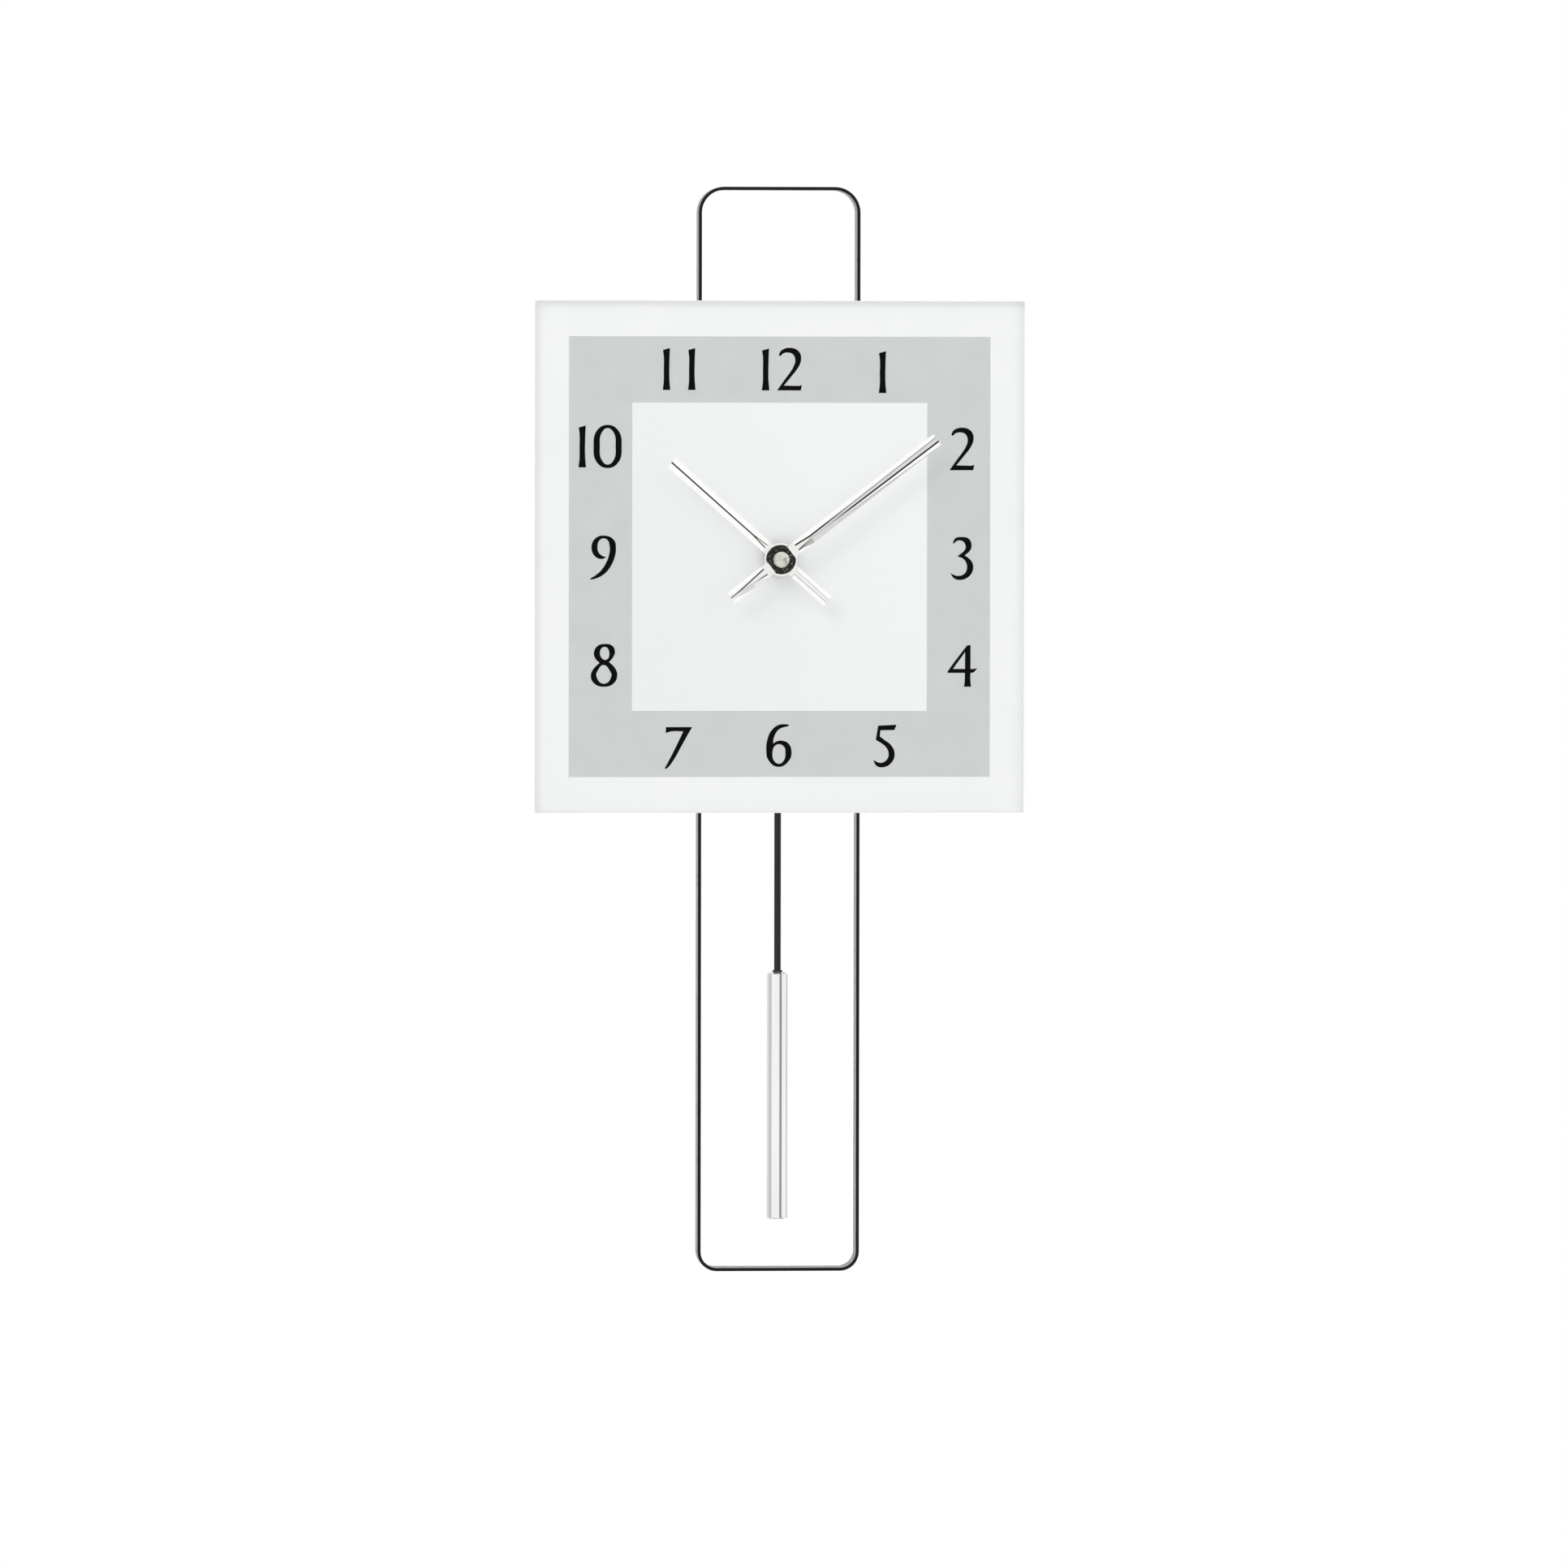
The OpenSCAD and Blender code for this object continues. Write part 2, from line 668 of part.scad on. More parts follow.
module wall_spacers() {
    spacer_end = standoff - bumper_t;
    color("silver") for (x = [-1, 1]) difference() {
        union() {
            bar(spacer_d, gasket_s, spacer_end, x * spacer_x, -spacer_drop);
            bar(screw_d, carrier_s, gasket_s + eps, x * spacer_x, -spacer_drop);
        }
        bar(screw_d + 1, spacer_end - 6, spacer_end + eps, x * spacer_x, -spacer_drop);
    }
}

module spacer_bumpers() {
    spacer_end = standoff - bumper_t;
    color("dimgray") for (x = [-1, 1]) spun(x * spacer_x, -spacer_drop) polygon([
        [0, spacer_end - 5], [screw_d / 2 + 0.4, spacer_end - 5],
        [screw_d / 2 + 0.5, spacer_end], [bumper_d / 2 - 0.4, spacer_end],
        [bumper_d / 2, spacer_end + 0.6], [bumper_d / 2, standoff - 0.8],
        [bumper_d / 2 - 0.8, standoff], [0, standoff]
    ]);
}

module case_gasket() {
    color("darkslategray") difference() {
        slab(gasket_s, case_s) case_outline(gasket_inset);
        bar(bush_flange_d + 2 * pass_gap, gasket_s - eps, case_s + eps);
    }
}

// Outline of the case, made smaller by the given inset
module case_outline(inset) {
    translate([0, case_mid]) rounded(case_w - 2 * inset, case_h - 2 * inset, case_r - inset);
}

// A small bearing boss on the inside of the front wall, for a pivot
module pivot_boss(x, z) {
    difference() {
        bar(boss_d, cavity_s - eps, cavity_s + boss_h, x, z);
        bar(pivot_d + 2 * run_gap, cavity_s + 0.2, cavity_s + boss_h + eps, x, z);
    }
}

module movement_front_case() {
    color("gray") difference() {
        union() {
            difference() {
                slab(case_s, cover_s) case_outline(0);
                slab(cavity_s, cover_s + eps) case_outline(case_wall);
            }
            case_posts();
            for (p = bridge_pegs) stepped_peg(p, bridge_s, bridge_t);
            for (p = board_pegs) stepped_peg(p, board_s, board_t);
            for (x = [-1, 1])
                bar(stator_post_d, cavity_s - eps, stator_s, rotor_x + x * 11, rotor_z - 5);
            pivot_boss(inter_x, inter_z);
            pivot_boss(rotor_x, rotor_z);
            bar(stud_d, cavity_s - eps, motion_wheel_s + wheel_t + 0.4, motion_x, motion_z);
            slab(cavity_s - eps, cover_s - 2)
                translate([0, bay_rib_z]) square([case_w - 2 * case_wall + eps, rib_t], center = true);
            battery_saddles();
            antenna_saddles();
        }
        bar(bush_d + 2 * pass_gap, case_s - eps, cavity_s + eps);
        cross_bar(battery_d, -battery_l / 2, battery_l / 2, battery_mid_s, battery_z);
        cross_bar(ferrite_d, -ferrite_l / 2, ferrite_l / 2, antenna_s, antenna_z);
        for (p = case_screw_spots)
            bar(case_screw_d + 2 * pass_gap, cavity_s + 2, cover_s + eps, p[0], p[1]);
    }
}

// Posts for the four case screws, each with a web to the side wall
module case_posts() {
    for (p = case_screw_spots) {
        bar(case_post_d, cavity_s - eps, cover_s, p[0], p[1]);
        slab(cavity_s - eps, cover_s)
            translate([p[0] + sign(p[0]) * 1.6, p[1]]) square([2.4, 1], center = true);
    }
}

// A post whose thin peg passes through a plate
module stepped_peg(p, s, plate_t) {
    bar(post_d, cavity_s - eps, s, p[0], p[1]);
    bar(peg_d, s - eps, s + plate_t + 0.3, p[0], p[1]);
}

// Two ribs that cradle the battery
module battery_saddles() {
    slab(cavity_s - eps, cavity_s + 4) for (x = [-1, 1])
        translate([x * saddle_x, (bay_rib_z + case_top) / 2])
            square([rib_t, case_top - bay_rib_z - 2 * case_wall + 1], center = true);
}

// Two ribs that hold the ends of the ferrite rod
module antenna_saddles() {
    slab(cavity_s - eps, antenna_s + 1) for (x = [-1, 1])
        translate([x * (ferrite_l / 2 - 4), antenna_z]) square([1.6, ferrite_d + 3], center = true);
}

// Sizes of the window in the rear cover through which the battery is changed
function window_size() = [battery_l + 6, battery_d + 1.4];

module movement_rear_cover() {
    color([0.3, 0.3, 0.32]) difference() {
        union() {
            slab(cover_s, back_s) case_outline(0);
            cover_lip();
            bar(boss_d + 4, back_s - eps, back_s + 0.5, 0, pivot_z);
            bar(boss_d + 3, cover_s - 2.2, cover_s + eps, 0, pivot_z);
            bar(drive_coil_d + 3, cover_s - 2, cover_s + eps, 0, lever_magnet_z);
        }
        slab(cover_s - eps, back_s + eps) translate([0, battery_z]) square(window_size(), center = true);
        bar(drive_coil_d + 2 * pass_gap, cover_s - drive_coil_t, cover_s, 0, lever_magnet_z);
        bar(axle_d, cover_s - 1.8, back_s + 0.5 + eps, 0, pivot_z);
        for (p = switch_spots)
            bar(button_d + 2 * run_gap, cover_s - eps, back_s + eps, p[0], p[1]);
        for (p = case_screw_spots)
            bar(case_screw_d + 2 * pass_gap, cover_s - eps, back_s + eps, p[0], p[1]);
    }
}

// Two short lips at top and bottom that locate the cover inside the case walls
module cover_lip() {
    inner_top = case_top - case_wall - pass_gap;
    inner_bottom = case_wall + pass_gap - case_drop;
    slab(cover_s - 1, cover_s + eps) {
        translate([-lip_w / 2, inner_top - lip_t]) square([lip_w, lip_t]);
        translate([-lip_w / 2, inner_bottom]) square([lip_w, lip_t]);
    }
}

module case_screws() {
    color("silver") for (p = case_screw_spots)
        dome_screw(case_screw_d, 2 * case_screw_d, 0.75 * case_screw_d, back_s,
            cover_t + case_screw_grip, p[0], p[1]);
}

module centre_bush() {
    color("goldenrod") difference() {
        union() {
            bar(bush_d, -bush_out, cavity_s);
            bar(bush_flange_d, gasket_s, case_s);
        }
        bar(hour_pipe_d + 2 * run_gap, -bush_out - eps, cavity_s + eps);
    }
}

module nut_washer() {
    color("silver") difference() {
        bar(nut_d + 0.6, -washer_t, 0);
        bar(bush_d + 2 * pass_gap, -washer_t - eps, eps);
    }
}

module bush_nut() {
    color("silver") difference() {
        spun() polygon([
            [bush_d / 2, -washer_t], [nut_d / 2, -washer_t], [nut_d / 2, 0.4 - washer_t - nut_t],
            [nut_d / 2 - 0.4, -washer_t - nut_t], [bush_d / 2, -washer_t - nut_t]
        ]);
        slab(-washer_t - nut_t - eps, -washer_t - nut_t / 2)
            for (x = [-1, 1]) translate([x * nut_d / 2, 0]) square([2.4, 1.6], center = true);
    }
}

module hour_wheel() {
    color("ivory") difference() {
        union() {
            toothed(hour_teeth, motion_pinion_module, hour_wheel_s, hour_wheel_s + wheel_t,
                0, 0, hour_turn);
            bar(hour_pipe_d, hour_boss_s - 0.4, hour_wheel_s + wheel_t);
        }
        bar(minute_arbor_d + 2 * run_gap, hour_boss_s - 1, hour_wheel_s + wheel_t + eps);
        for (i = [0:3]) translate(spot(0, hour_wheel_s - eps, 0)) rotate([-90, 0, 0])
            rotate(i * 90 + 45) translate([6, 0, 0]) cylinder(d = 3, h = wheel_t + 2 * eps);
    }
}

module motion_wheel() {
    color("ivory") difference() {
        union() {
            toothed(motion_teeth, motion_module, motion_wheel_s, motion_wheel_s + wheel_t,
                motion_x, motion_z, motion_turn);
            toothed(cannon_teeth, motion_pinion_module, hour_wheel_s - 0.1, motion_wheel_s + eps,
                motion_x, motion_z, motion_pinion_turn);
        }
        bar(stud_d + 2 * run_gap, hour_wheel_s - 1, motion_wheel_s + wheel_t + 1,
            motion_x, motion_z);
    }
}

module minute_arbor() {
    color("goldenrod") {
        bar(minute_arbor_d, arbor_tip_s, cannon_s + eps);
        toothed(cannon_teeth, motion_module, cannon_s, cannon_end_s, 0, 0, cannon_turn);
        bar(minute_arbor_d, cannon_end_s - eps, minute_wheel_s + eps);
        difference() {
            toothed(minute_teeth, fine_module, minute_wheel_s, minute_wheel_s + wheel_t,
                0, 0, minute_turn);
            for (i = [0:4]) translate(spot(0, minute_wheel_s - eps, 0)) rotate([-90, 0, 0])
                rotate(i * 72) translate([7.2, 0, 0]) cylinder(d = 4.4, h = wheel_t + 2 * eps);
        }
        bar(pivot_d, minute_wheel_s + wheel_t - eps, bridge_s + bridge_t - 0.2);
    }
}

module intermediate_wheel() {
    color("ivory") {
        bar(pivot_d, cavity_s + 0.3, bridge_s + bridge_t - 0.2, inter_x, inter_z);
        toothed(pinion_leaves, fine_module, minute_wheel_s - 0.3, inter_wheel_s + eps,
            inter_x, inter_z, inter_pinion_turn);
        difference() {
            toothed(inter_teeth, fine_module, inter_wheel_s, inter_wheel_s + inter_wheel_t,
                inter_x, inter_z, inter_turn);
            for (i = [0:3]) translate(spot(inter_x, inter_wheel_s - eps, inter_z))
                rotate([-90, 0, 0]) rotate(i * 90) translate([6.4, 0, 0])
                    cylinder(d = 4, h = inter_wheel_t + 2 * eps);
        }
    }
}

module motor_rotor() {
    color("ivory") {
        bar(pivot_d, cavity_s + 0.3, bridge_s + bridge_t - 0.2, rotor_x, rotor_z);
        toothed(pinion_leaves, fine_module, inter_wheel_s - 0.2, inter_wheel_s + inter_wheel_t + 0.2,
            rotor_x, rotor_z, rotor_turn);
    }
}

module rotor_magnet() {
    color("dimgray") difference() {
        bar(magnet_d, magnet_s, magnet_s + magnet_l, rotor_x, rotor_z);
        bar(pivot_d, magnet_s - eps, magnet_s + magnet_l + eps, rotor_x, rotor_z);
    }
}

// Outline of the stator sheet: rotor eye above, coil core below, open between
module stator_outline() {
    half_w = 13;
    leg_w = 4;
    top = rotor_z + 5;
    bottom = coil_z - core_h / 2 - 1;
    window_top = coil_z + coil_d / 2 + 0.6;
    difference() {
        translate([rotor_x - half_w, bottom]) square([2 * half_w, top - bottom]);
        translate([rotor_x - half_w + leg_w, bottom - eps])
            square([2 * (half_w - leg_w), window_top - bottom]);
        translate([rotor_x, rotor_z]) circle(magnet_d / 2 + stator_gap);
    }
    translate([rotor_x - half_w + leg_w - eps, coil_z - core_h / 2])
        square([2 * (half_w - leg_w + eps), core_h]);
}

module motor_stator() {
    color("slategray") slab(stator_s, stator_s + stator_t) stator_outline();
}

module motor_coil() {
    half_l = 8.6;
    mid_s = stator_s + stator_t / 2;
    color("peru") difference() {
        union() {
            cross_bar(coil_d - 0.8, rotor_x - half_l, rotor_x + half_l, mid_s, coil_z);
            for (x = [-1, 1])
                cross_bar(coil_d, rotor_x + x * (half_l - 0.4) - 0.4, rotor_x + x * (half_l - 0.4) + 0.4,
                    mid_s, coil_z);
        }
        slab(stator_s, stator_s + stator_t) translate([rotor_x, coil_z])
            square([2 * half_l + 2, core_h + 2 * pass_gap], center = true);
    }
}

module train_bridge() {
    color("darkgray") difference() {
        slab(bridge_s, bridge_s + bridge_t) translate([0, (bridge_top + bridge_bottom) / 2])
            rounded(bridge_w, bridge_top - bridge_bottom, bridge_r);
        bar(pivot_d + 2 * run_gap, bridge_s - eps, bridge_s + bridge_t + eps);
        bar(pivot_d + 2 * run_gap, bridge_s - eps, bridge_s + bridge_t + eps, inter_x, inter_z);
        bar(pivot_d + 2 * run_gap, bridge_s - eps, bridge_s + bridge_t + eps, rotor_x, rotor_z);
        for (p = bridge_pegs)
            bar(peg_d + 2 * pass_gap, bridge_s - eps, bridge_s + bridge_t + eps, p[0], p[1]);
        slab(bridge_s - eps, bridge_s + bridge_t + eps) translate(bridge_window_spot)
            rounded(bridge_window[0], bridge_window[1], bridge_r);
    }
}

module circuit_board() {
    color("darkgreen") difference() {
        slab(board_s, board_back_s) translate([0, -board_z]) rounded(board_w, board_h, 1);
        for (p = board_pegs)
            bar(peg_d + 2 * pass_gap, board_s - eps, board_back_s + eps, p[0], p[1]);
    }
}

module receiver_chip() {
    color("black") slab(board_back_s, board_back_s + 1.4) translate([-11, -board_z])
        rounded(9, 9, 0.6);
}

module tact_switches() {
    color("lightgray") for (p = switch_spots) {
        slab(board_back_s, board_back_s + 1.4) translate(p) square([6, 6], center = true);
        bar(3.4, board_back_s + 1.4 - eps, board_back_s + switch_h, p[0], p[1]);
    }
}

module antenna_rod() {
    color("darkslategray") cross_bar(ferrite_d, -ferrite_l / 2, ferrite_l / 2, antenna_s, antenna_z);
}

module antenna_coil() {
    color("peru") difference() {
        cross_bar(antenna_d, -antenna_l / 2, antenna_l / 2, antenna_s, antenna_z);
        cross_bar(ferrite_d, -antenna_l / 2 - eps, antenna_l / 2 + eps, antenna_s, antenna_z);
    }
}

module battery() {
    color("steelblue") translate(spot(0, battery_mid_s, battery_z)) rotate([0, 90, 0])
        rotate_extrude() polygon([
            [0, -battery_l / 2], [battery_d / 2 - 0.6, -battery_l / 2],
            [battery_d / 2, 0.6 - battery_l / 2], [battery_d / 2, battery_l / 2 - 0.8],
            [battery_d / 2 - 0.8, battery_l / 2], [2.7, battery_l / 2], [2.7, battery_l / 2 + 1.3],
            [0, battery_l / 2 + 1.3]
        ]);
}

// A flat spring contact that stands against a side wall of the battery bay
module contact_plate(x0) {
    slab(cavity_s, cavity_s + 13) translate([x0, battery_z - 5]) square([0.5, 10]);
}

module battery_contact_plus() {
    color("silver") contact_plate(battery_l / 2 + 1.3);
}

module battery_contact_minus() {
    gap = case_w / 2 - case_wall - battery_l / 2;
    wall_x = -case_w / 2 + case_wall;
    color("silver") translate(spot(0, battery_mid_s, battery_z - 4)) linear_extrude(8) polygon([
        [wall_x, -6], [wall_x + 0.5, -6], [wall_x + 0.5, 1], [wall_x + gap, 2.2],
        [wall_x + gap, 2.8], [wall_x, 1.6]
    ]);
}

// A round push button with a collar that keeps it inside the cover
module push_button(i) {
    p = switch_spots[i];
    collar_h = cover_s - button_s - 0.15;
    color("gainsboro") spun(p[0], p[1]) polygon([
        [0, button_s], [button_d / 2 + 0.9, button_s], [button_d / 2 + 0.9, button_s + collar_h],
        [button_d / 2, button_s + collar_h], [button_d / 2, back_s + 0.9],
        [button_d / 2 - 0.3, back_s + 1.2], [0, back_s + 1.2]
    ]);
}

module set_button() {
    push_button(0);
}

module signal_button() {
    push_button(1);
}

module reset_button() {
    push_button(2);
}

module drive_coil() {
    color("peru") difference() {
        bar(drive_coil_d, cover_s - drive_coil_t, cover_s, 0, lever_magnet_z);
        bar(5, cover_s - drive_coil_t - eps, cover_s + eps, 0, lever_magnet_z);
    }
}

module pendulum_lever() {
    boss_r = lever_magnet_d / 2 + 2;
    arm_top = pivot_z - 2;
    color("ivory") difference() {
        union() {
            bar(9, lever_s, strap_s, 0, pivot_z);
            bar(2 * boss_r, lever_s, strap_s, 0, lever_magnet_z);
            slab(lever_s, strap_s) polygon([
                [-4, arm_top], [4, arm_top], [2.6, pivot_z - 14], [3.4, lever_magnet_z],
                [3.4, peg_z() - 3], [-3.4, peg_z() - 3], [-3.4, lever_magnet_z],
                [-2.6, pivot_z - 14]
            ]);
            bar(3, strap_s - eps, strap_s + strap_t + 0.1, 0, peg_z());
            bar(4.4, strap_s + strap_t + 0.1 - eps, strap_s + strap_t + 0.9, 0, peg_z());
        }
        bar(axle_d + 2 * run_gap, lever_s - eps, strap_s + eps, 0, pivot_z);
        bar(lever_magnet_d, lever_s - eps, strap_s + eps, 0, lever_magnet_z);
    }
}

// Height of the peg on which the pendulum hangs
function peg_z() = lever_magnet_z - lever_magnet_d / 2 - 5;

module lever_axle() {
    head_s = strap_s + 0.3;
    color("silver") {
        bar(axle_d, cover_s - 1.6, head_s + eps, 0, pivot_z);
        bar(axle_d + 2.4, head_s, head_s + axle_head_h, 0, pivot_z);
    }
}

module lever_magnet() {
    color("dimgray") bar(lever_magnet_d, lever_s, strap_s, 0, lever_magnet_z);
}

// Side section of the bent strap, x backwards from the rod and y up from the lower bend
module strap_section() {
    reach = strap_s - frame_mid_s;
    rise = peg_z() + 3.6 + strap_drop;
    r = 2;
    translate([0, 0]) square([reach - r, strap_t]);
    translate([reach, strap_t + r]) square([strap_t, rise - strap_t - r]);
    translate([reach - r, strap_t + r]) difference() {
        circle(r + strap_t);
        circle(r);
        translate([-2 * r - strap_t, 0]) square([4 * r + 2 * strap_t, 2 * r]);
        translate([-2 * r - strap_t, -2 * r]) square([2 * r + strap_t, 4 * r]);
    }
}

module rod_hook() {
    color("silver") difference() {
        union() {
            translate(spot(-strap_w / 2, frame_mid_s, -strap_drop)) rotate([90, 0, 90])
                linear_extrude(strap_w) strap_section();
            down_bar(rod_d + 3, -strap_drop + strap_t - socket_h, -strap_drop + strap_t,
                frame_mid_s);
        }
        bar(3 + 2 * pass_gap, strap_s - eps, strap_s + strap_t + eps, 0, peg_z());
        down_bar(rod_d, -strap_drop - socket_h, -strap_drop + eps, frame_mid_s);
    }
}

module pendulum_rod() {
    color([0.1, 0.1, 0.1]) down_bar(rod_d, -bob_drop - rod_sink, -strap_drop, frame_mid_s);
}

module bob_ferrule() {
    color([0.05, 0.05, 0.05]) difference() {
        down_bar(ferrule_d, -bob_drop, -bob_drop + 0.9, frame_mid_s);
        down_bar(rod_d, -bob_drop - eps, -bob_drop + 1, frame_mid_s);
    }
}

module pendulum_bob() {
    r = bob_d / 2;
    color("gainsboro") difference() {
        translate(spot(0, frame_mid_s, -bob_drop - bob_l)) rotate_extrude() polygon([
            [0, 0], [r - 0.6, 0], [r, 0.6], [r, bob_l - 0.8], [r - 0.8, bob_l], [0, bob_l]
        ]);
        down_bar(rod_d, -bob_drop - rod_sink, -bob_drop + eps, frame_mid_s);
    }
}

// Corners of one section of a hand's arm: a flat ridge between two sloping flanks
function arm_section(y, w, ridge_w) = [
    [-w / 2, y, 0], [w / 2, y, 0], [w / 2, y, hand_edge_t], [ridge_w / 2, y, hand_t],
    [-ridge_w / 2, y, hand_t], [-w / 2, y, hand_edge_t]
];

// One arm of a hand: flat beside the hub, then a ridge that narrows to its waist and widens
// again to the tip. ridges holds its widths at the end of the flat, at the waist and at the tip
module hand_arm(length, w, inner, ridges) {
    flat_w = w - 0.1;
    sections = [
        arm_section(inner, w, flat_w), arm_section(hand_flat - 0.5, w, flat_w),
        arm_section(hand_flat, w, ridges[0]), arm_section(hand_waist, w, ridges[1]),
        arm_section(length, w, ridges[2])
    ];
    last = 6 * (len(sections) - 1);
    polyhedron([for (section = sections) each section], [
        [5, 4, 3, 2, 1, 0],
        [for (k = [0:5]) last + k],
        for (start = [0:6:last - 6], k = [0:5])
            let (near = start + k, beside = start + (k + 1) % 6)
                each [[near, beside, near + 6], [beside, beside + 6, near + 6]]
    ]);
}

// The two arms of a hand, pointing up before they are turned to the clock angle
module hand_arms(length, w, inner, ridges) {
    hand_arm(length, w, inner, ridges);
    rotate(180) hand_arm(tail_l, w, inner, ridges);
}

// Stands a hand in front of the dial with its back at depth s
module hand_place(s, angle) {
    translate(spot(0, s, 0)) rotate([0, angle, 0]) rotate([90, 0, 0]) children();
}

module hour_hand() {
    color("gainsboro") difference() {
        union() {
            hand_place(-hour_hand_out, hour_angle)
                hand_arms(hour_l, hour_w, hour_boss_d / 2 - 1.2, [1.6, 0.5, 0.8]);
            bar(hour_boss_d, hour_boss_s, -hour_hand_out);
        }
        bar(hour_pipe_d, hour_boss_s - eps, -hour_hand_out + eps);
    }
}

module minute_hand() {
    color("gainsboro") difference() {
        union() {
            hand_place(minute_back_s, minute_angle)
                hand_arms(minute_l, minute_w, collar_flat + 0.4, [3.2, 1.3, minute_ridge]);
            bar(collar_d - 0.4, collar_back_s, minute_back_s);
        }
        bar(minute_arbor_d, collar_back_s - eps, minute_back_s + eps);
    }
}

module minute_collet() {
    color([0.08, 0.08, 0.08]) intersection() {
        spun() polygon([
            [minute_arbor_d / 2, collar_back_s], [collar_d / 2, collar_back_s],
            [collar_d / 2, collar_s + 0.6], [collar_d / 2 - 1.4, collar_s],
            [minute_arbor_d / 2, collar_s]
        ]);
        hand_place(collar_back_s + 1, minute_angle)
            translate([-collar_d, -collar_flat, 0])
                cube([2 * collar_d, 2 * collar_flat, collar_t + 2]);
    }
}

module hand_cap() {
    r = cap_d / 2;
    dome_h = cap_h - 0.5;
    dome_r = (r * r + dome_h * dome_h) / (2 * dome_h);
    color("gainsboro") translate(spot(0, collar_s, 0)) rotate([90, 0, 0]) {
        cylinder(r = r, h = 0.5 + eps);
        translate([0, 0, 0.5]) intersection() {
            translate([0, 0, dome_h - dome_r]) sphere(dome_r);
            cylinder(r = r + 1, h = dome_h + 1);
        }
    }
}

dial_glass();
dial_backing();
dial_band();
adhesive_pads();
frame_strip();
carrier_plate();
frame_rivets();
hanger_bracket();
hanger_screws();
wall_spacers();
spacer_bumpers();
case_gasket();
movement_front_case();
movement_rear_cover();
case_screws();
centre_bush();
nut_washer();
bush_nut();
hour_wheel();
motion_wheel();
minute_arbor();
intermediate_wheel();
motor_rotor();
rotor_magnet();
motor_stator();
motor_coil();
train_bridge();
circuit_board();
receiver_chip();
tact_switches();
antenna_rod();
antenna_coil();
battery();
battery_contact_plus();
battery_contact_minus();
set_button();
signal_button();
reset_button();
drive_coil();
pendulum_lever();
lever_axle();
lever_magnet();
rod_hook();
pendulum_rod();
bob_ferrule();
pendulum_bob();
hour_hand();
minute_hand();
minute_collet();
hand_cap();
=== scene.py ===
# %% [markdown]
# A wall clock with a pendulum
#
# This lesson dresses the CAD model of a radio-controlled wall clock. A square of bevelled
# glass carries the dial, a tall loop of black steel strip stands behind it, and a polished
# bob swings below. The CAD model gives every shape and joint. Blender adds the numbers on
# the dial, the small details of the hardware, the finishes and the light. The first cell
# loads the model and names the sizes used everywhere.

# %% Load the model
import math
import bmesh
import bpy
from mathutils import Matrix, Vector


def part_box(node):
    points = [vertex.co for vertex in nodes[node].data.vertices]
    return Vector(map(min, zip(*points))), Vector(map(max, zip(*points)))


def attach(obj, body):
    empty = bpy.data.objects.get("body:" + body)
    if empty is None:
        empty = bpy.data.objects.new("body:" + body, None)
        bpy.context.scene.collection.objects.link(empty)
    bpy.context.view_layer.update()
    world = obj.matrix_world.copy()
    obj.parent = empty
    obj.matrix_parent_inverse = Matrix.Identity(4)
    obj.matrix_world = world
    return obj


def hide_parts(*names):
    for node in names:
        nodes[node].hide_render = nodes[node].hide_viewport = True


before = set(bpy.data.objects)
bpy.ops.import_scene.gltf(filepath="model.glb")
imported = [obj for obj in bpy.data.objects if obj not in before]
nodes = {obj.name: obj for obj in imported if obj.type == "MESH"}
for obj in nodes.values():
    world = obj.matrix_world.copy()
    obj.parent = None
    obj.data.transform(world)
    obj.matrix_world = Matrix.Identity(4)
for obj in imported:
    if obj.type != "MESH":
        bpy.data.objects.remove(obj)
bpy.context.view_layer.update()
MM = 0.001

# Millimetres down from the wall screw to the hands' axis and to the middle of the glass
HUB_DROP, GLASS_DROP = 70.0, 68.8
GLASS_HALF_WIDTH, GLASS_HALF_HEIGHT = 115.0, 120.0


def placed(name, data):
    """A new object, linked into the scene."""
    made = bpy.data.objects.new(name, data)
    bpy.context.scene.collection.objects.link(made)
    return made


def solid_mesh(built, name, material):
    """Turns an edited mesh into one that an object can carry, with a single material."""
    mesh = bpy.data.meshes.new(name)
    built.to_mesh(mesh)
    built.free()
    mesh.materials.append(material)
    return mesh


# %% [markdown]
# The camera
#
# The photograph was taken from far away, a little to the left of the clock and about level
# with the dial: the loop's flanks show as thin lines on their left sides only. A short list of
# known corners gave the distance, the angles and the lens. A long lens keeps the verticals
# upright, as in the photograph.

# %% Camera
CAMERA_SPOT = Vector((-0.4499, -5.9831, 0.0))
YAW, PITCH, ROLL = math.radians(4.351), math.radians(-1.685), math.radians(0.088)
FOCAL_LENGTH, SENSOR_WIDTH, FAR_CLIP = 291.88, 36, 60

ahead = Vector((math.sin(YAW) * math.cos(PITCH), math.cos(YAW) * math.cos(PITCH),
                math.sin(PITCH)))
level = Vector((math.cos(YAW), -math.sin(YAW), 0))
upward = level.cross(ahead)
rightward = math.cos(ROLL) * level + math.sin(ROLL) * upward
topward = rightward.cross(ahead)
camera = placed("camera", bpy.data.cameras.new("camera"))
camera.matrix_world = Matrix((rightward, topward, -ahead)).transposed().to_4x4()
camera.location = CAMERA_SPOT
camera.data.sensor_width = SENSOR_WIDTH
camera.data.lens = FOCAL_LENGTH
camera.data.clip_end = FAR_CLIP
bpy.context.scene.camera = camera
bpy.context.scene.view_settings.view_transform = "Standard"
hub = Vector((0, 0, -HUB_DROP * MM))
print("camera", round((CAMERA_SPOT - hub).length, 3), "m from the hub")

# %% [markdown]
# Shader maths
#
# A finish is a small calculation that runs for every point of a surface. Written as nodes
# it soon gets long, so a class wraps the output of a node and lets Python's operators add
# the Math nodes. After this a finish reads like a short formula.

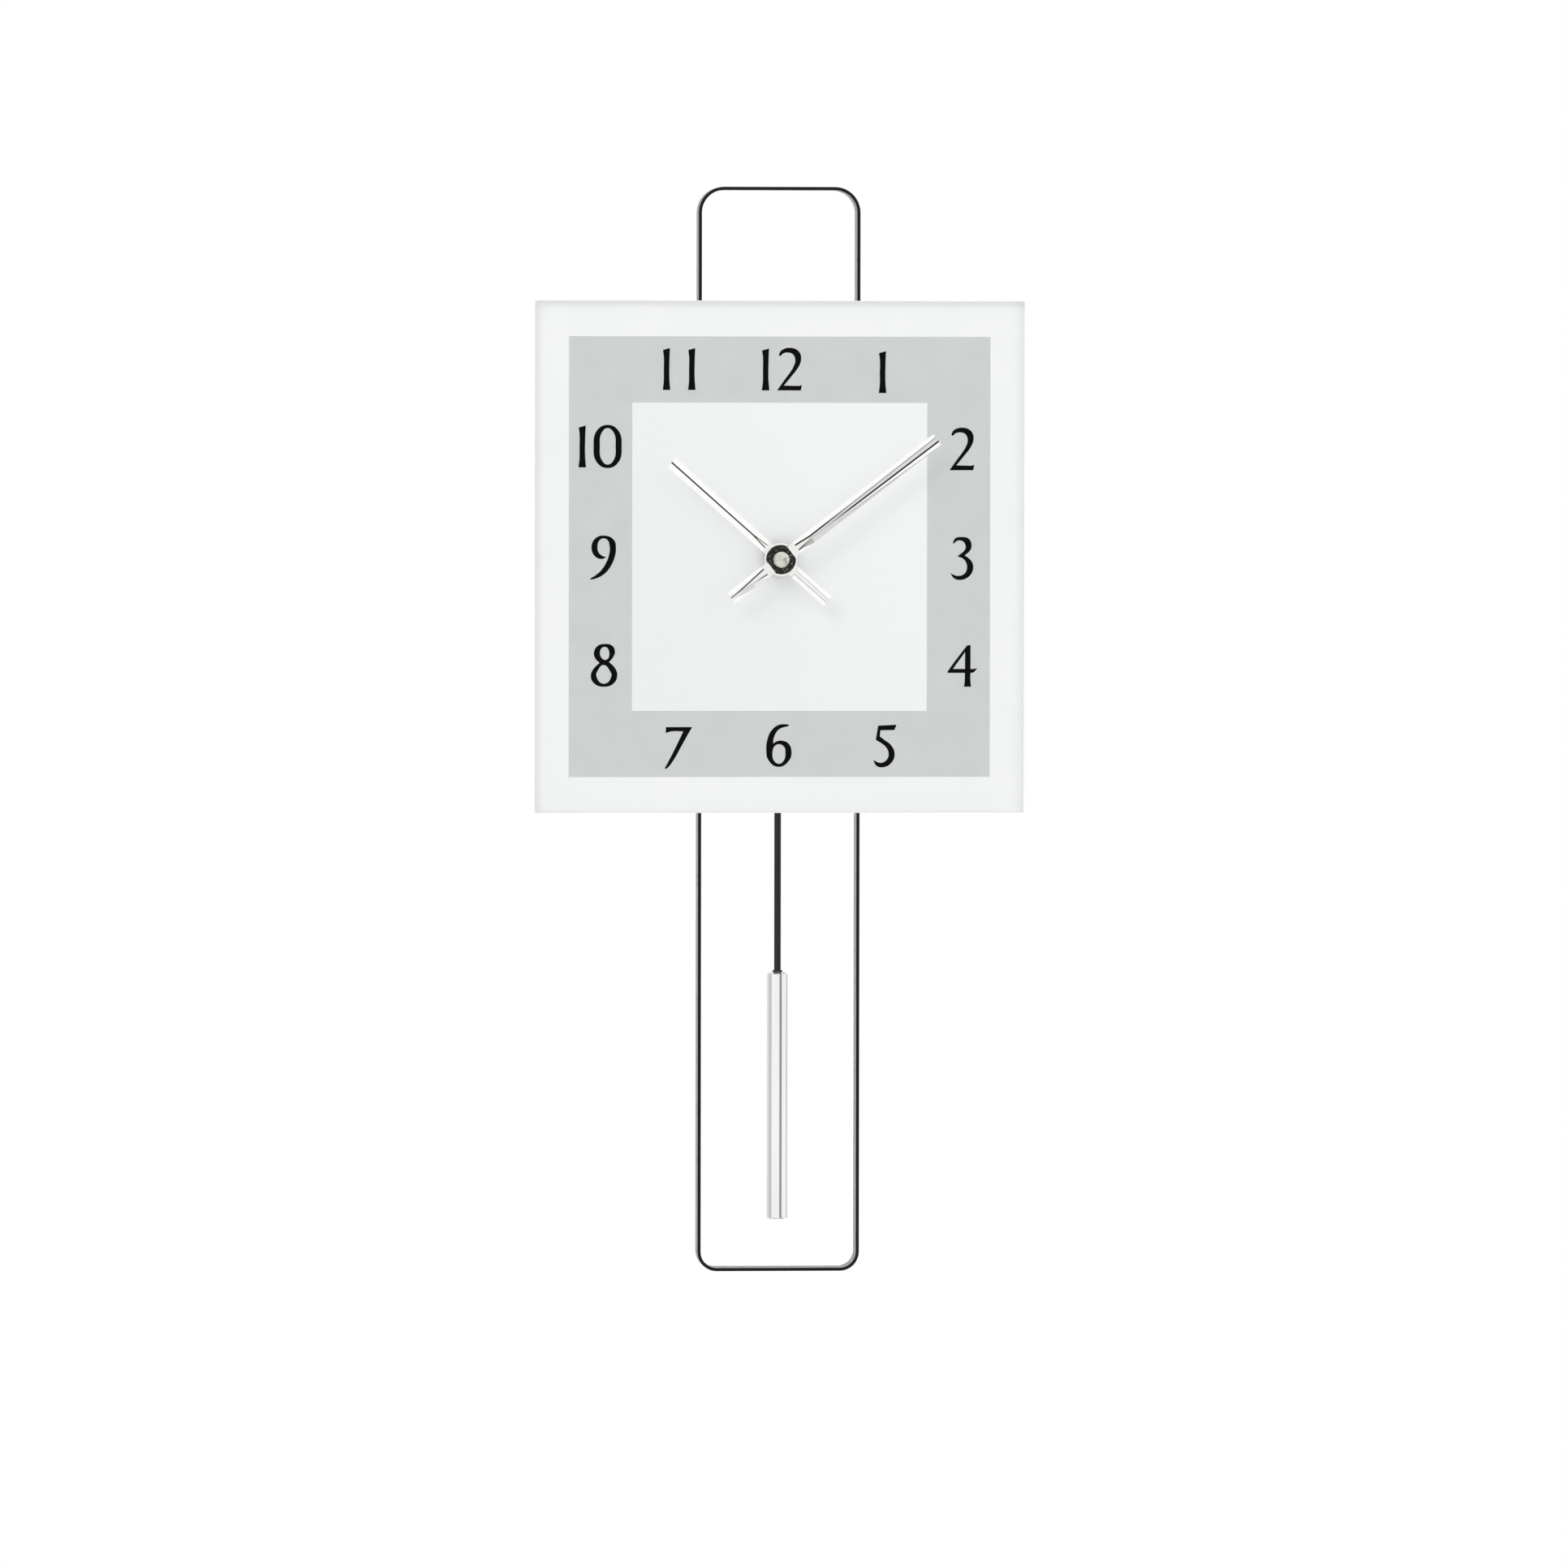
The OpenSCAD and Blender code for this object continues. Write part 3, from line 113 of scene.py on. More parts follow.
# %% One value in a shader
class Wire:
    """An output socket. Operators on it add Math nodes in the same tree."""

    def __init__(self, tree, socket):
        self.tree, self.socket = tree, socket

    def _math(self, operation, first, second=0.0):
        return node(self.tree, "ShaderNodeMath", {"operation": operation}, {0: first, 1: second})

    def __add__(self, other): return self._math("ADD", self, other)
    def __radd__(self, other): return self._math("ADD", other, self)
    def __sub__(self, other): return self._math("SUBTRACT", self, other)
    def __rsub__(self, other): return self._math("SUBTRACT", other, self)
    def __mul__(self, other): return self._math("MULTIPLY", self, other)
    def __rmul__(self, other): return self._math("MULTIPLY", other, self)
    def __truediv__(self, other): return self._math("DIVIDE", self, other)
    def __pow__(self, other): return self._math("POWER", self, other)
    def __abs__(self): return self._math("ABSOLUTE", self)

    def sine(self): return self._math("SINE", self)

    def _range(self, kind, low, high, out_low, out_high):
        return node(self.tree, "ShaderNodeMapRange", {"interpolation_type": kind},
                    {"Value": self, "From Min": low, "From Max": high,
                     "To Min": out_low, "To Max": out_high})

    def line(self, low, high, out_low=0.0, out_high=1.0):
        """A straight slope between low and high, level outside them."""
        return self._range("LINEAR", low, high, out_low, out_high)

    def ramp(self, low, high, out_low=0.0, out_high=1.0):
        """A soft step: out_low below low, out_high above high."""
        return self._range("SMOOTHSTEP", low, high, out_low, out_high)


print("a wire can", ", ".join(name for name in vars(Wire) if "_" not in name))

# %% [markdown]
# Nodes and colours
#
# Every node comes from one function, which takes its type, its settings and its inputs.
# Colours are written from 0 to 255, as on a paint chart. A renderer adds up light, and for
# that it needs linear values, so a second function turns one into the other.

# %% Any node, any colour
def node(tree, kind, settings=None, sockets=None, out=0):
    """Adds a node, applies its settings, then sets or links its sockets. Gives one output."""
    made = tree.nodes.new(kind)
    for name, value in (settings or {}).items():
        setattr(made, name, value)
    for name, value in (sockets or {}).items():
        if isinstance(value, Wire):
            tree.links.new(value.socket, made.inputs[name])
        else:
            made.inputs[name].default_value = value
    return Wire(tree, made.outputs[out])


def paint(red, green, blue):
    """A colour as a paint chart gives it, 0 to 255, in the linear values that Blender uses."""
    def linear(level):
        level /= 255
        return level / 12.92 if level <= 0.04045 else ((level + 0.055) / 1.055) ** 2.4
    return (linear(red), linear(green), linear(blue), 1.0)


print("mid grey", [round(v, 3) for v in paint(128, 128, 128)])

# %% [markdown]
# Finishes
#
# Every finish here starts from Blender's Principled shader. Real surfaces are never the
# same all over: paint has a faint orange peel, moulded plastic a fine grain, turned metal
# has rings and polished metal has wipe marks. The class below adds such a variation with
# noise in millimetres, measured in the clock's own frame, so that the scale is real.

# %% A finish
class Finish:
    """A procedural material for one kind of surface."""

    def __init__(self, name, base, rough, **constants):
        self.material = bpy.data.materials.new(name)
        self.material.use_nodes = True
        self.tree = self.material.node_tree
        self.shader = self.tree.nodes["Principled BSDF"]
        self.base, self.rough = base, rough
        self.shader.inputs["Base Color"].default_value = base
        self.shader.inputs["Roughness"].default_value = rough
        for socket, value in constants.items():
            self.shader.inputs[socket.replace("_", " ")].default_value = value
        self.place = self.node("ShaderNodeTexCoord", out="Object")

    def node(self, kind, settings=None, sockets=None, out=0):
        return node(self.tree, kind, settings, sockets, out)

    def feed(self, socket, value):
        self.tree.links.new(value.socket, self.shader.inputs[socket])
        return self

    def stretched(self, stretch):
        """The place on the clock, in millimetres, squeezed along the axes as stretch says."""
        factors = tuple(s / MM for s in stretch)
        return self.node("ShaderNodeVectorMath", {"operation": "MULTIPLY"},
                         {0: self.place, 1: factors})

    def principled(self):
        """The Principled shader's own output."""
        return Wire(self.tree, self.shader.outputs[0])

    def shows(self, shader):
        """Sends another shader to the output in place of the Principled one."""
        output = self.tree.nodes["Material Output"]
        self.tree.links.new(shader.socket, output.inputs["Surface"])
        return self

    def axis(self, name):
        """One coordinate in millimetres."""
        return self.node("ShaderNodeSeparateXYZ", sockets={0: self.place}, out=name) / MM

    def noise(self, size, detail=2.0, stretch=(1, 1, 1), seed=0.0):
        """Cloudy noise from 0 to 1 whose clouds are about size millimetres across."""
        return self.node("ShaderNodeTexNoise", {"noise_dimensions": "4D"},
                         {"Vector": self.stretched(stretch), "Scale": 1 / size,
                          "Detail": detail, "W": seed})

    def cells(self, size, out="Distance"):
        """Cells about size millimetres across: the distance to their middles, or a colour."""
        return self.node("ShaderNodeTexVoronoi", out=out, sockets={
            "Vector": self.stretched((1, 1, 1)), "Scale": 1 / size})

    def mixed(self, factor, first, second):
        """One colour turning into another."""
        return self.node("ShaderNodeMix", {"data_type": "RGBA"},
                         {0: factor, 6: first, 7: second}, out=2)

    def relief(self, height, depth):
        """Makes the surface look raised by height times depth millimetres."""
        bump = self.node("ShaderNodeBump", sockets={"Height": height, "Distance": depth * MM})
        return self.feed("Normal", bump)

    def clouds(self, tone, size=6.0, stretch=(1, 1, 1), seed=0.0):
        """Lets the colour drift towards tone in soft patches."""
        patch = self.noise(size, 3.0, stretch, seed).ramp(0.3, 0.75)
        return self.feed("Base Color", self.mixed(patch, self.base, tone))

    def worn(self, spread, size=4.0, stretch=(1, 1, 1), seed=3.0):
        """Lets the roughness drift up and down by spread."""
        drift = self.noise(size, 4.0, stretch, seed)
        return self.feed("Roughness", drift.ramp(0.25, 0.75, self.rough - spread,
                                                 self.rough + spread))


finishes = {}


def keep(name, finish):
    """Files a finish under the name of the material slot that it dresses."""
    finishes[name] = finish.material
    return finish


print("a finish can", ", ".join(name for name in vars(Finish) if "_" not in name))

# %% [markdown]
# Glass, sheet and foil
#
# The dial is a sandwich: clear float glass in front, a grey foil band and a pale sheet
# behind it. Clear glass that light has to pass twice would need many samples, so lamps and
# scattered light go straight through it here, and only what the camera sees is refracted.
# The cut edge and the sharp corners are ground, which makes them frosted and pale, so a
# second shader shows there. The sheet and the foil are matt, with the faint fibre and grain
# of printed film. In the window of the foil band the sheet is a shade darker, and a painted
# shade darkens it further towards the lower left.

# %% Glass, sheet and foil
def float_glass():
    """Clear glass with a faint green tint, which lets the light through to the dial."""
    finish = Finish("float_glass", (0.993, 0.998, 0.995, 1.0), 0.0, IOR=1.5,
                    Transmission_Weight=1.0, Specular_IOR_Level=0.15)
    wipe = finish.noise(45.0, 2.0, (1, 1, 1), 5.0)
    finish.feed("Roughness", wipe.ramp(0.3, 0.8, 0.0, 0.012))
    light = {out: finish.node("ShaderNodeLightPath", out=out)
             for out in ("Is Shadow Ray", "Is Diffuse Ray")}
    passing = light["Is Shadow Ray"] + light["Is Diffuse Ray"]
    clear = finish.node("ShaderNodeBsdfTransparent", sockets={"Color": (0.99, 0.995, 0.992, 1.0)})
    mixed = finish.node("ShaderNodeMixShader", sockets={
        0: passing, 1: finish.principled(), 2: clear})
    aside, aloft = abs(finish.axis("X")), abs(finish.axis("Z") + GLASS_DROP)
    beside = aside.ramp(GLASS_HALF_WIDTH - 0.15, GLASS_HALF_WIDTH - 0.05)
    above = aloft.ramp(GLASS_HALF_HEIGHT - 0.15, GLASS_HALF_HEIGHT - 0.05)
    corner = aside.ramp(GLASS_HALF_WIDTH - 1.1, GLASS_HALF_WIDTH - 0.6)
    corner = corner * aloft.ramp(GLASS_HALF_HEIGHT - 1.1, GLASS_HALF_HEIGHT - 0.6)
    grit = finish.node("ShaderNodeBump", sockets={"Height": finish.noise(0.2, 3.0),
                                                  "Distance": 0.05 * MM})
    tint = finish.mixed(finish.noise(1.5, 3.0), paint(247, 249, 248), paint(236, 241, 239))
    ground = finish.node("ShaderNodeBsdfPrincipled", sockets={
        "Base Color": tint, "Roughness": 0.5, "Normal": grit})
    edged = finish.node("ShaderNodeMixShader", sockets={
        0: 1 - (1 - beside) * (1 - above) * (1 - corner), 1: mixed, 2: ground})
    return finish.shows(edged)


keep("glass", float_glass())
sheet = keep("pale_sheet", Finish("pale_sheet", paint(243, 243, 243), 0.55))
within = ((1 - abs(sheet.axis("X")).ramp(69, 70))
          * (1 - abs(sheet.axis("Z") + GLASS_DROP).ramp(72, 73)))
# painted shade: the window of the sheet darkens towards the lower left
painted_shade_slope = (sheet.axis("X") + 0.5 * sheet.axis("Z") + 34).ramp(-110, 90)
middle = sheet.mixed(painted_shade_slope, paint(235, 237, 236), paint(241, 242, 242))
border = sheet.mixed(sheet.noise(30.0).ramp(0.3, 0.75), paint(243, 243, 243),
                     paint(240, 241, 241))
facing = 1 - sheet.axis("Y").ramp(-39.98, -39.9)  # the front face alone
sheet.feed("Base Color", sheet.mixed(within * facing, border, middle)).worn(0.06, 1.2)
sheet.relief(sheet.noise(0.35, 3.0), 0.01)
foil = keep("grey_foil", Finish("grey_foil", paint(202, 204, 203), 0.42, Specular_IOR_Level=0.6))
foil.clouds(paint(197, 201, 199), 14.0).worn(0.08, 0.8)
foil.relief(foil.noise(0.25, 2.0), 0.006)
foam = keep("foam_tape", Finish("foam_tape", paint(232, 230, 224), 0.8))
foam.clouds(paint(214, 211, 203), 1.2)
foam.relief(foam.cells(0.45), 0.12)
print("dial finishes:", list(finishes))

# %% [markdown]
# Painted and plated steel
#
# The loop is steel strip under satin black paint. Its front edge is black, while its flanks
# look light grey, because at a grazing angle paint mirrors the white room. That comes from
# the shader by itself if the paint is smooth enough. Zinc plating is duller and has a
# spangle. The rivets are dark, and the screws are plain dull steel.

# %% Steel finishes
def metal(slot, colour, drift, rough, cloud=0.8, wear=(0.1, 0.6), grain=(0.2, 0.01),
          metallic=1.0):
    """Bare metal: colour, soft drift, wear and a fine grain, with its sizes in millimetres."""
    finish = keep(slot, Finish(slot, colour, rough, Metallic=metallic))
    finish.clouds(drift, cloud).worn(*wear)
    return finish.relief(finish.noise(grain[0], 2.0), grain[1])


strip = keep("black_steel", Finish("black_satin_paint", paint(5, 5, 6), 0.24,
                                   Specular_IOR_Level=0.22))
strip.clouds(paint(9, 9, 10), 9.0).worn(0.04, 3.0)
strip.relief(strip.noise(2.5, 2.0), 0.002)
zinc = keep("zinc_steel", Finish("zinc_plated_steel", paint(186, 189, 192), 0.38, Metallic=1.0))
flakes = zinc.mixed(zinc.cells(5.0, "Color"), paint(180, 183, 187), paint(196, 198, 200))
zinc.feed("Base Color", flakes)
zinc.worn(0.1, 2.5)
zinc.relief(zinc.noise(0.3, 2.0, (1, 1, 0.08)), 0.01)
rivet = metal("dark_rivet", paint(34, 34, 36), paint(52, 52, 54), 0.4, grain=(0.3, 0.02),
              metallic=0.6)
metal("screw_steel", paint(176, 174, 168), paint(140, 138, 132), 0.3, 0.9, (0.1, 0.5))
metal("switch_metal", paint(190, 190, 188), paint(165, 165, 164), 0.35)
contact = keep("contact_steel", Finish("contact_steel", paint(205, 204, 198), 0.25,
                                       Metallic=1.0))
contact.clouds(paint(185, 183, 175), 2.0).worn(0.08, 1.0, (0.2, 1, 1))
stator = keep("stator_steel", Finish("stator_steel", paint(120, 122, 126), 0.45, Metallic=1.0))
stator.clouds(paint(96, 98, 104), 2.5).worn(0.1, 1.0)
stator.relief((stator.axis("Y") * 12.0).sine(), 0.01)
print("steel finishes:", [name for name in finishes if "steel" in name])

# %% [markdown]
# Polished and turned metal
#
# Chrome has almost no colour of its own: what is seen is the room. Its finish only needs a
# nearly smooth surface with faint wipe marks. The nut is turned, and turning leaves fine
# rings. Each hand is pressed with a ridge along it and polished. From a metre away only the
# two creases beside the ridge show, as dark lines about half a millimetre wide. They spread
# into a V at the hub, and along the hand now one and now the other is stronger. The finish
# draws them as painted shade in the hand's colour, with a painted shade on the face beside
# the ridge too, by their place along and across the hand, so that they turn with it.

# %% Bright finishes
chrome = keep("polished_chrome", Finish("polished_chrome", paint(244, 244, 244), 0.06,
                                        Metallic=1.0))
chrome.clouds(paint(238, 239, 240), 12.0, (1, 1, 0.2)).worn(0.02, 5.0, (1, 1, 0.1))

# Millimetres from the hands' axis to where their ridges start, narrow and end
HUB_EDGE, WAIST, HAND_END, TAIL_END = 9.4, 17.4, 92.0, 26.0
LINE_SOFTNESS = 0.11


def polished_hand(name, angle, *, widths, tail_widths, thickness, tail_fade, shades,
                  upper_run, lower_runs):
    """A hand's finish. angle is its place on the dial, and the widths are half the ridge's:
    at the hub, at the waist and at the tip, and at the tail's two ends. thickness is half a
    crease line's, shades tell how dark the ridge is near and far, and a run tells where
    along the hand a line changes and how strong it is before and after."""
    finish = Finish(name, paint(254, 254, 253), 0.09, Metallic=1.0)
    across_dial, up_dial = finish.axis("X"), finish.axis("Z") + HUB_DROP
    sine, cosine = math.sin(math.radians(angle)), math.cos(math.radians(angle))
    forward = across_dial * sine + up_dial * cosine
    along, tail = abs(forward), 1 - forward.ramp(-1, 1)
    across = across_dial * cosine - up_dial * sine
    root, waist, tip = widths
    main = along.line(HUB_EDGE, WAIST, root, waist)
    main = main + along.line(WAIST, HAND_END, 0.0, tip - waist)
    ridge = main + tail * (along.line(HUB_EDGE, TAIL_END, *tail_widths) - main)
    # painted shade: the dark crease lines beside the ridge
    painted_crease_shade = 1 - abs(abs(across) - ridge).ramp(thickness - LINE_SOFTNESS,
                                               thickness + LINE_SOFTNESS)
    upper = 1 - across.ramp(-0.1, 0.1)
    lower = sum(along.line(*run) for run in lower_runs)
    strength = upper * along.line(*upper_run) + (1 - upper) * lower
    # painted shade on the face beside the ridge, fading along the hand
    painted_ridge_shade = (ridge - abs(across)).ramp(-0.1, 0.1) * (1 - tail)
    painted_ridge_shade = painted_ridge_shade * along.ramp(14, 18) * along.line(30, 60, *shades)
    painted_ridge_shade = painted_ridge_shade * across.ramp(-0.7, 0.1, along.line(30, 60, 1.0, 0.15), 1.0)
    dark = painted_crease_shade * strength * (1 - tail * tail_fade) * along.ramp(9.0, HUB_EDGE) + painted_ridge_shade
    patch = finish.noise(5.0, 3.0).ramp(0.3, 0.75)
    silver = finish.mixed(patch, paint(254, 254, 253), paint(249, 249, 247))
    # the painted shade turns the silver towards dark grey
    finish.feed("Base Color", finish.mixed(dark, silver, paint(40, 38, 34)))
    finish.worn(0.03, 1.5)
    return finish.relief(finish.noise(0.5, 2.0), 0.002)


keep("polished_hand", polished_hand(
    "polished_hour_hand", -48.5, widths=(0.8, 0.1, 0.2), tail_widths=(0.9, 0.75),
    thickness=0.25, tail_fade=0.55, shades=(0.9, 0.3),
    upper_run=(14, 60, 1.0, 0.65), lower_runs=[(20, 70, 0.75, 1.0)]))
minute_polish = polished_hand(
    "polished_minute_hand", 52.4, widths=(1.4, 0.6, 1.1), tail_widths=(1.5, 0.1),
    thickness=0.37, tail_fade=0.1, shades=(0.1, 0.2),
    upper_run=(24, 42, 1.0, 0.5), lower_runs=[(12, 17, 0.85, 0.25), (24, 42, 0.0, 0.75)])
cap = keep("polished_cap", Finish("polished_cap", paint(222, 222, 210), 0.14, Metallic=1.0))
cap.clouds(paint(196, 196, 184), 1.6).worn(0.05, 0.9)
cap_x, cap_z = cap.axis("X"), cap.axis("Z") + HUB_DROP
radius = (cap_x * cap_x + cap_z * cap_z) ** 0.5
cap.relief((radius * 14.0).sine() + cap.noise(1.3, 2.0) * 9, 0.012)
nut = keep("turned_aluminium", Finish("turned_aluminium", paint(206, 207, 208), 0.3,
                                      Metallic=1.0))
nut.clouds(paint(192, 193, 195), 3.0).worn(0.06, 1.0)
nut.relief((nut.axis("Y") * 30.0).sine(), 0.006)
metal("brass", paint(205, 170, 98), paint(182, 146, 78), 0.26, 1.6, (0.08, 0.8), (0.15, 0.006))
print("hand finishes:", finishes["polished_hand"].name, minute_polish.material.name)

# %% [markdown]
# Black collar and rod
#
# The collar that holds the minute hand is black, and the photograph shows it mottled: a
# cast or phosphated surface with shiny and dull spots. The rod of the pendulum is thin
# lacquered wire, smooth enough to show a soft lighter stripe on its left.

# %% Black finishes
collar = keep("black_collar", Finish("black_collar", paint(16, 15, 13), 0.4,
                                     Specular_IOR_Level=0.3))
spots = collar.noise(0.8, 4.0).ramp(0.54, 0.64)
collar.feed("Base Color", collar.mixed(spots, paint(6, 6, 5), paint(112, 105, 88)))
collar.feed("Roughness", spots * -0.15 + 0.45)
collar.relief(collar.noise(0.7, 4.0), 0.05)
rod = keep("black_rod", Finish("black_rod", paint(13, 13, 13), 0.26, Specular_IOR_Level=0.4))
rod.clouds(paint(19, 19, 19), 5.0, (1, 1, 0.2)).worn(0.05, 3.0)
rod.relief(rod.noise(0.8, 2.0, (1, 1, 0.2)), 0.004)
print("black finishes:", collar.material.name, rod.material.name)

# %% [markdown]
# Plastics and rubber
#
# The movement's case, its cover, its wheels and buttons are moulded. A spark-eroded mould
# leaves a fine even grain on outer faces, so each plastic gets one, with its own colour
# and gloss. Rubber is duller, with a bloom of lighter dust.

# %% Moulded finishes
def moulded(slot, colour, drift, rough, grain=0.25, depth=0.02):
    """Moulded plastic: a base colour, a soft drift and the grain of the mould."""
    finish = keep(slot, Finish(slot, colour, rough))
    finish.clouds(drift, 8.0).worn(0.06, 2.0)
    return finish.relief(finish.noise(grain, 3.0), depth)


moulded("grey_plastic", paint(58, 60, 63), paint(66, 68, 71), 0.5)
moulded("dark_plastic", paint(36, 37, 39), paint(43, 44, 46), 0.45)
moulded("black_plastic", paint(24, 24, 25), paint(30, 30, 31), 0.4)
moulded("white_plastic", paint(234, 233, 228), paint(226, 224, 217), 0.35)
moulded("ivory_plastic", paint(232, 224, 200), paint(222, 212, 184), 0.4)
moulded("black_rubber", paint(30, 30, 31), paint(48, 47, 46), 0.75, 0.4, 0.04)
moulded("ferrite", paint(52, 50, 50), paint(66, 63, 61), 0.6, 0.3, 0.03)
cell = moulded("battery_sleeve", paint(62, 78, 104), paint(54, 70, 96), 0.28, 1.5, 0.01)
ends = abs(cell.axis("X")).ramp(24.0, 24.1)
ring = abs(cell.axis("X") - 17).ramp(2.9, 3.0)
sleeve = cell.mixed(ring, paint(176, 180, 186), cell.mixed(cell.noise(8.0), paint(62, 78, 104),
                                                           paint(50, 66, 92)))
cell.feed("Base Color", cell.mixed(ends, sleeve, paint(206, 204, 198))).feed("Metallic", ends)
moulded("board_green", paint(28, 92, 58), paint(22, 80, 50), 0.35, 0.5, 0.01)
copper = keep("copper_winding", Finish("copper_winding", paint(198, 112, 66), 0.28, Metallic=1.0))
turns = (copper.axis("Z") * 24.0).sine()
# painted shade: the turns are darker in the grooves between them and lighter on their crests
copper.feed("Base Color", copper.mixed(turns.ramp(-1, 1), paint(150, 76, 40), paint(214, 128, 78)))
copper.relief(turns, 0.05)
print(len(finishes), "finishes:", sorted(finishes))

# %% [markdown]
# Dressing the CAD model
#
# Each CAD solid says which material slot it uses. Putting the matching finish in that slot
# dresses the whole clock, outside and inside, in a few lines.

# %% Put the finishes on
dressed = {}
for name, solid in nodes.items():
    for holder in solid.material_slots:
        slot = holder.material.name.split(".")[0]
        holder.material = finishes[slot]
        dressed.setdefault(slot, []).append(name)
nodes["minute_hand"].material_slots[0].material = minute_polish.material
print(sum(len(names) for names in dressed.values()), "solids dressed with", len(dressed),
      "finishes")

# %% [markdown]
# The studio
#
# A clock like this is photographed in a white tent. The world is white to the camera and to
# mirrors, and a little less bright as a lamp, so that colours render as they are written.
# Mirrors also need something darker to show: grey cards stand in front, at the sides and
# behind, and they give the bob its soft vertical stripes from wherever it is seen. One
# small, faint card straight ahead tones down the faces that look at the camera.

# %% World
world = bpy.data.worlds.new("white_tent")
world.use_nodes = True
bpy.context.scene.world = world
tent = world.node_tree
tent.nodes.clear()
gaze = node(tent, "ShaderNodeTexCoord", out="Generated")


def towards(direction):
    """How far the gaze points in a direction, from -1 to 1."""
    return node(tent, "ShaderNodeVectorMath", {"operation": "DOT_PRODUCT"},
                {0: gaze, 1: direction}, out="Value")


def in_degrees(operation, *values):
    """ARCTAN2 of two wires or ARCSINE of one, as an angle in degrees."""
    angle = node(values[0].tree, "ShaderNodeMath", {"operation": operation},
                 dict(enumerate(values)))
    return angle * (180 / math.pi)


turn = in_degrees("ARCTAN2", towards((1, 0, 0)), towards((0, -1, 0)))
rise = in_degrees("ARCSINE", towards((0, 0, 1)))


def card(low, high, soft_low, soft_high, shade, value=turn):
    """A grey card between two angles in degrees, with soft edges. Shade 1 would be black."""
    rising = value.ramp(low - soft_low, low + soft_low)
    falling = value.ramp(high - soft_high, high + soft_high)
    return rising * (1 - falling) * shade


def side_cards(bearing, shade):
    """The cards at the sides and behind: one on the right and a slope from the left round."""
    slope_round = bearing.line(-180, -80, 0, 1.2) * (1 - bearing.ramp(-72, -68))
    return (card(104, 134, 6, 6, 1.0, bearing) + slope_round) * shade


front_card = card(19, 45, 4, 4, 0.68) * card(-14, 14, 4, 4, 1.0, rise)
round_cards = side_cards(turn, 0.35) * card(-65, 65, 10, 10, 1.0, rise)
faint_card = card(-1, 9, 3, 3, 0.14) * card(-2.3, 7, 0.3, 2, 1.0, rise)
tone = 1 - (front_card + round_cards + faint_card)
mirrored = node(tent, "ShaderNodeCombineColor", sockets={0: tone, 1: tone, 2: tone})
white = (1.0, 1.0, 1.0, 1.0)
rays = {out: node(tent, "ShaderNodeLightPath", out=out)
        for out in ("Is Camera Ray", "Is Glossy Ray", "Is Transmission Ray")}
shown = node(tent, "ShaderNodeMix", {"data_type": "RGBA"},
             {0: rays["Is Glossy Ray"], 6: white, 7: mirrored}, out=2)
seen = node(tent, "ShaderNodeMath", {"operation": "ADD", "use_clamp": True},
            {0: rays["Is Camera Ray"] + rays["Is Transmission Ray"], 1: rays["Is Glossy Ray"]})
bright = node(tent, "ShaderNodeBackground", sockets={"Color": shown, "Strength": 1.0})
LAMP_LEVEL = 0.86
lamp_like = node(tent, "ShaderNodeBackground", sockets={"Color": white, "Strength": LAMP_LEVEL})
mix = node(tent, "ShaderNodeMixShader", sockets={0: seen, 1: lamp_like, 2: bright})
tent.links.new(mix.socket, tent.nodes.new("ShaderNodeOutputWorld").inputs["Surface"])
print("the tent has", len(tent.nodes), "nodes")

# %% [markdown]
# Lamps and floor
#
# Three soft boxes light the clock: the key from the upper left, a weaker fill from the
# right, and one behind, so that the rear is lit as well. The floor is pale paper that runs
# out to the white of the tent, so that no horizon shows. From above, the bob mirrors the
# floor, so for mirrors it carries the same cards as the tent. The hands and their collar
# don't keep scattered light from the dial, and the loop isn't mirrored in the bob, because
# the photograph shows neither.

# %% Lamps and floor
LAMP_TARGET = Vector((0, 0, -0.15))


def soft_lamp(name, spot, size, power):
    """A square soft box that looks at the dial. Mirrors show the cards instead of it."""
    lamp = bpy.data.lights.new(name, "AREA")
    lamp.size, lamp.energy = size, power
    holder = placed(name, lamp)
    holder.location = spot
    down_beam = LAMP_TARGET - Vector(spot)
    holder.rotation_euler = down_beam.to_track_quat("-Z", "Y").to_euler()
    holder.visible_glossy = False


soft_lamp("key_box", (-2.0, -2.6, 2.2), 1.6, 26)
soft_lamp("fill_box", (2.4, -2.4, 0.8), 1.8, 12)
soft_lamp("back_box", (0.6, 2.8, 1.8), 1.8, 16)

FLOOR_RADIUS, FLOOR_DEPTH = 7.0, -1.2
CARD_REACH, HAZE_REACH = (2400, 3000), (1500, 6500)  # millimetres from the clock
floor_paint = Finish("studio_floor", paint(244, 244, 243), 0.9)
floor_paint.clouds(paint(242, 242, 242), 400.0)
out_x, out_y = floor_paint.axis("X"), floor_paint.axis("Y")
bearing = in_degrees("ARCTAN2", out_x, -1 * out_y)
distance = (out_x * out_x + out_y * out_y) ** 0.5
dimmed = card(19, 45, 4, 4, 0.6, bearing) * distance.ramp(*CARD_REACH)
dimmed = dimmed + card(52, 76, 5, 5, 0.55, bearing) + side_cards(bearing, 0.42)
glow = floor_paint.node("ShaderNodeEmission", sockets={
    "Color": floor_paint.mixed(dimmed, white, paint(70, 70, 71)), "Strength": 1.0})
look = floor_paint.node("ShaderNodeMixShader", sockets={
    0: floor_paint.node("ShaderNodeLightPath", out="Is Glossy Ray"),
    1: floor_paint.principled(), 2: glow})
fade = distance.ramp(*HAZE_REACH) * floor_paint.node("ShaderNodeLightPath", out="Is Camera Ray")
haze = floor_paint.node("ShaderNodeEmission", sockets={"Color": white, "Strength": 1.0})
floor_paint.shows(floor_paint.node("ShaderNodeMixShader", sockets={0: fade, 1: look, 2: haze}))
disc = bmesh.new()
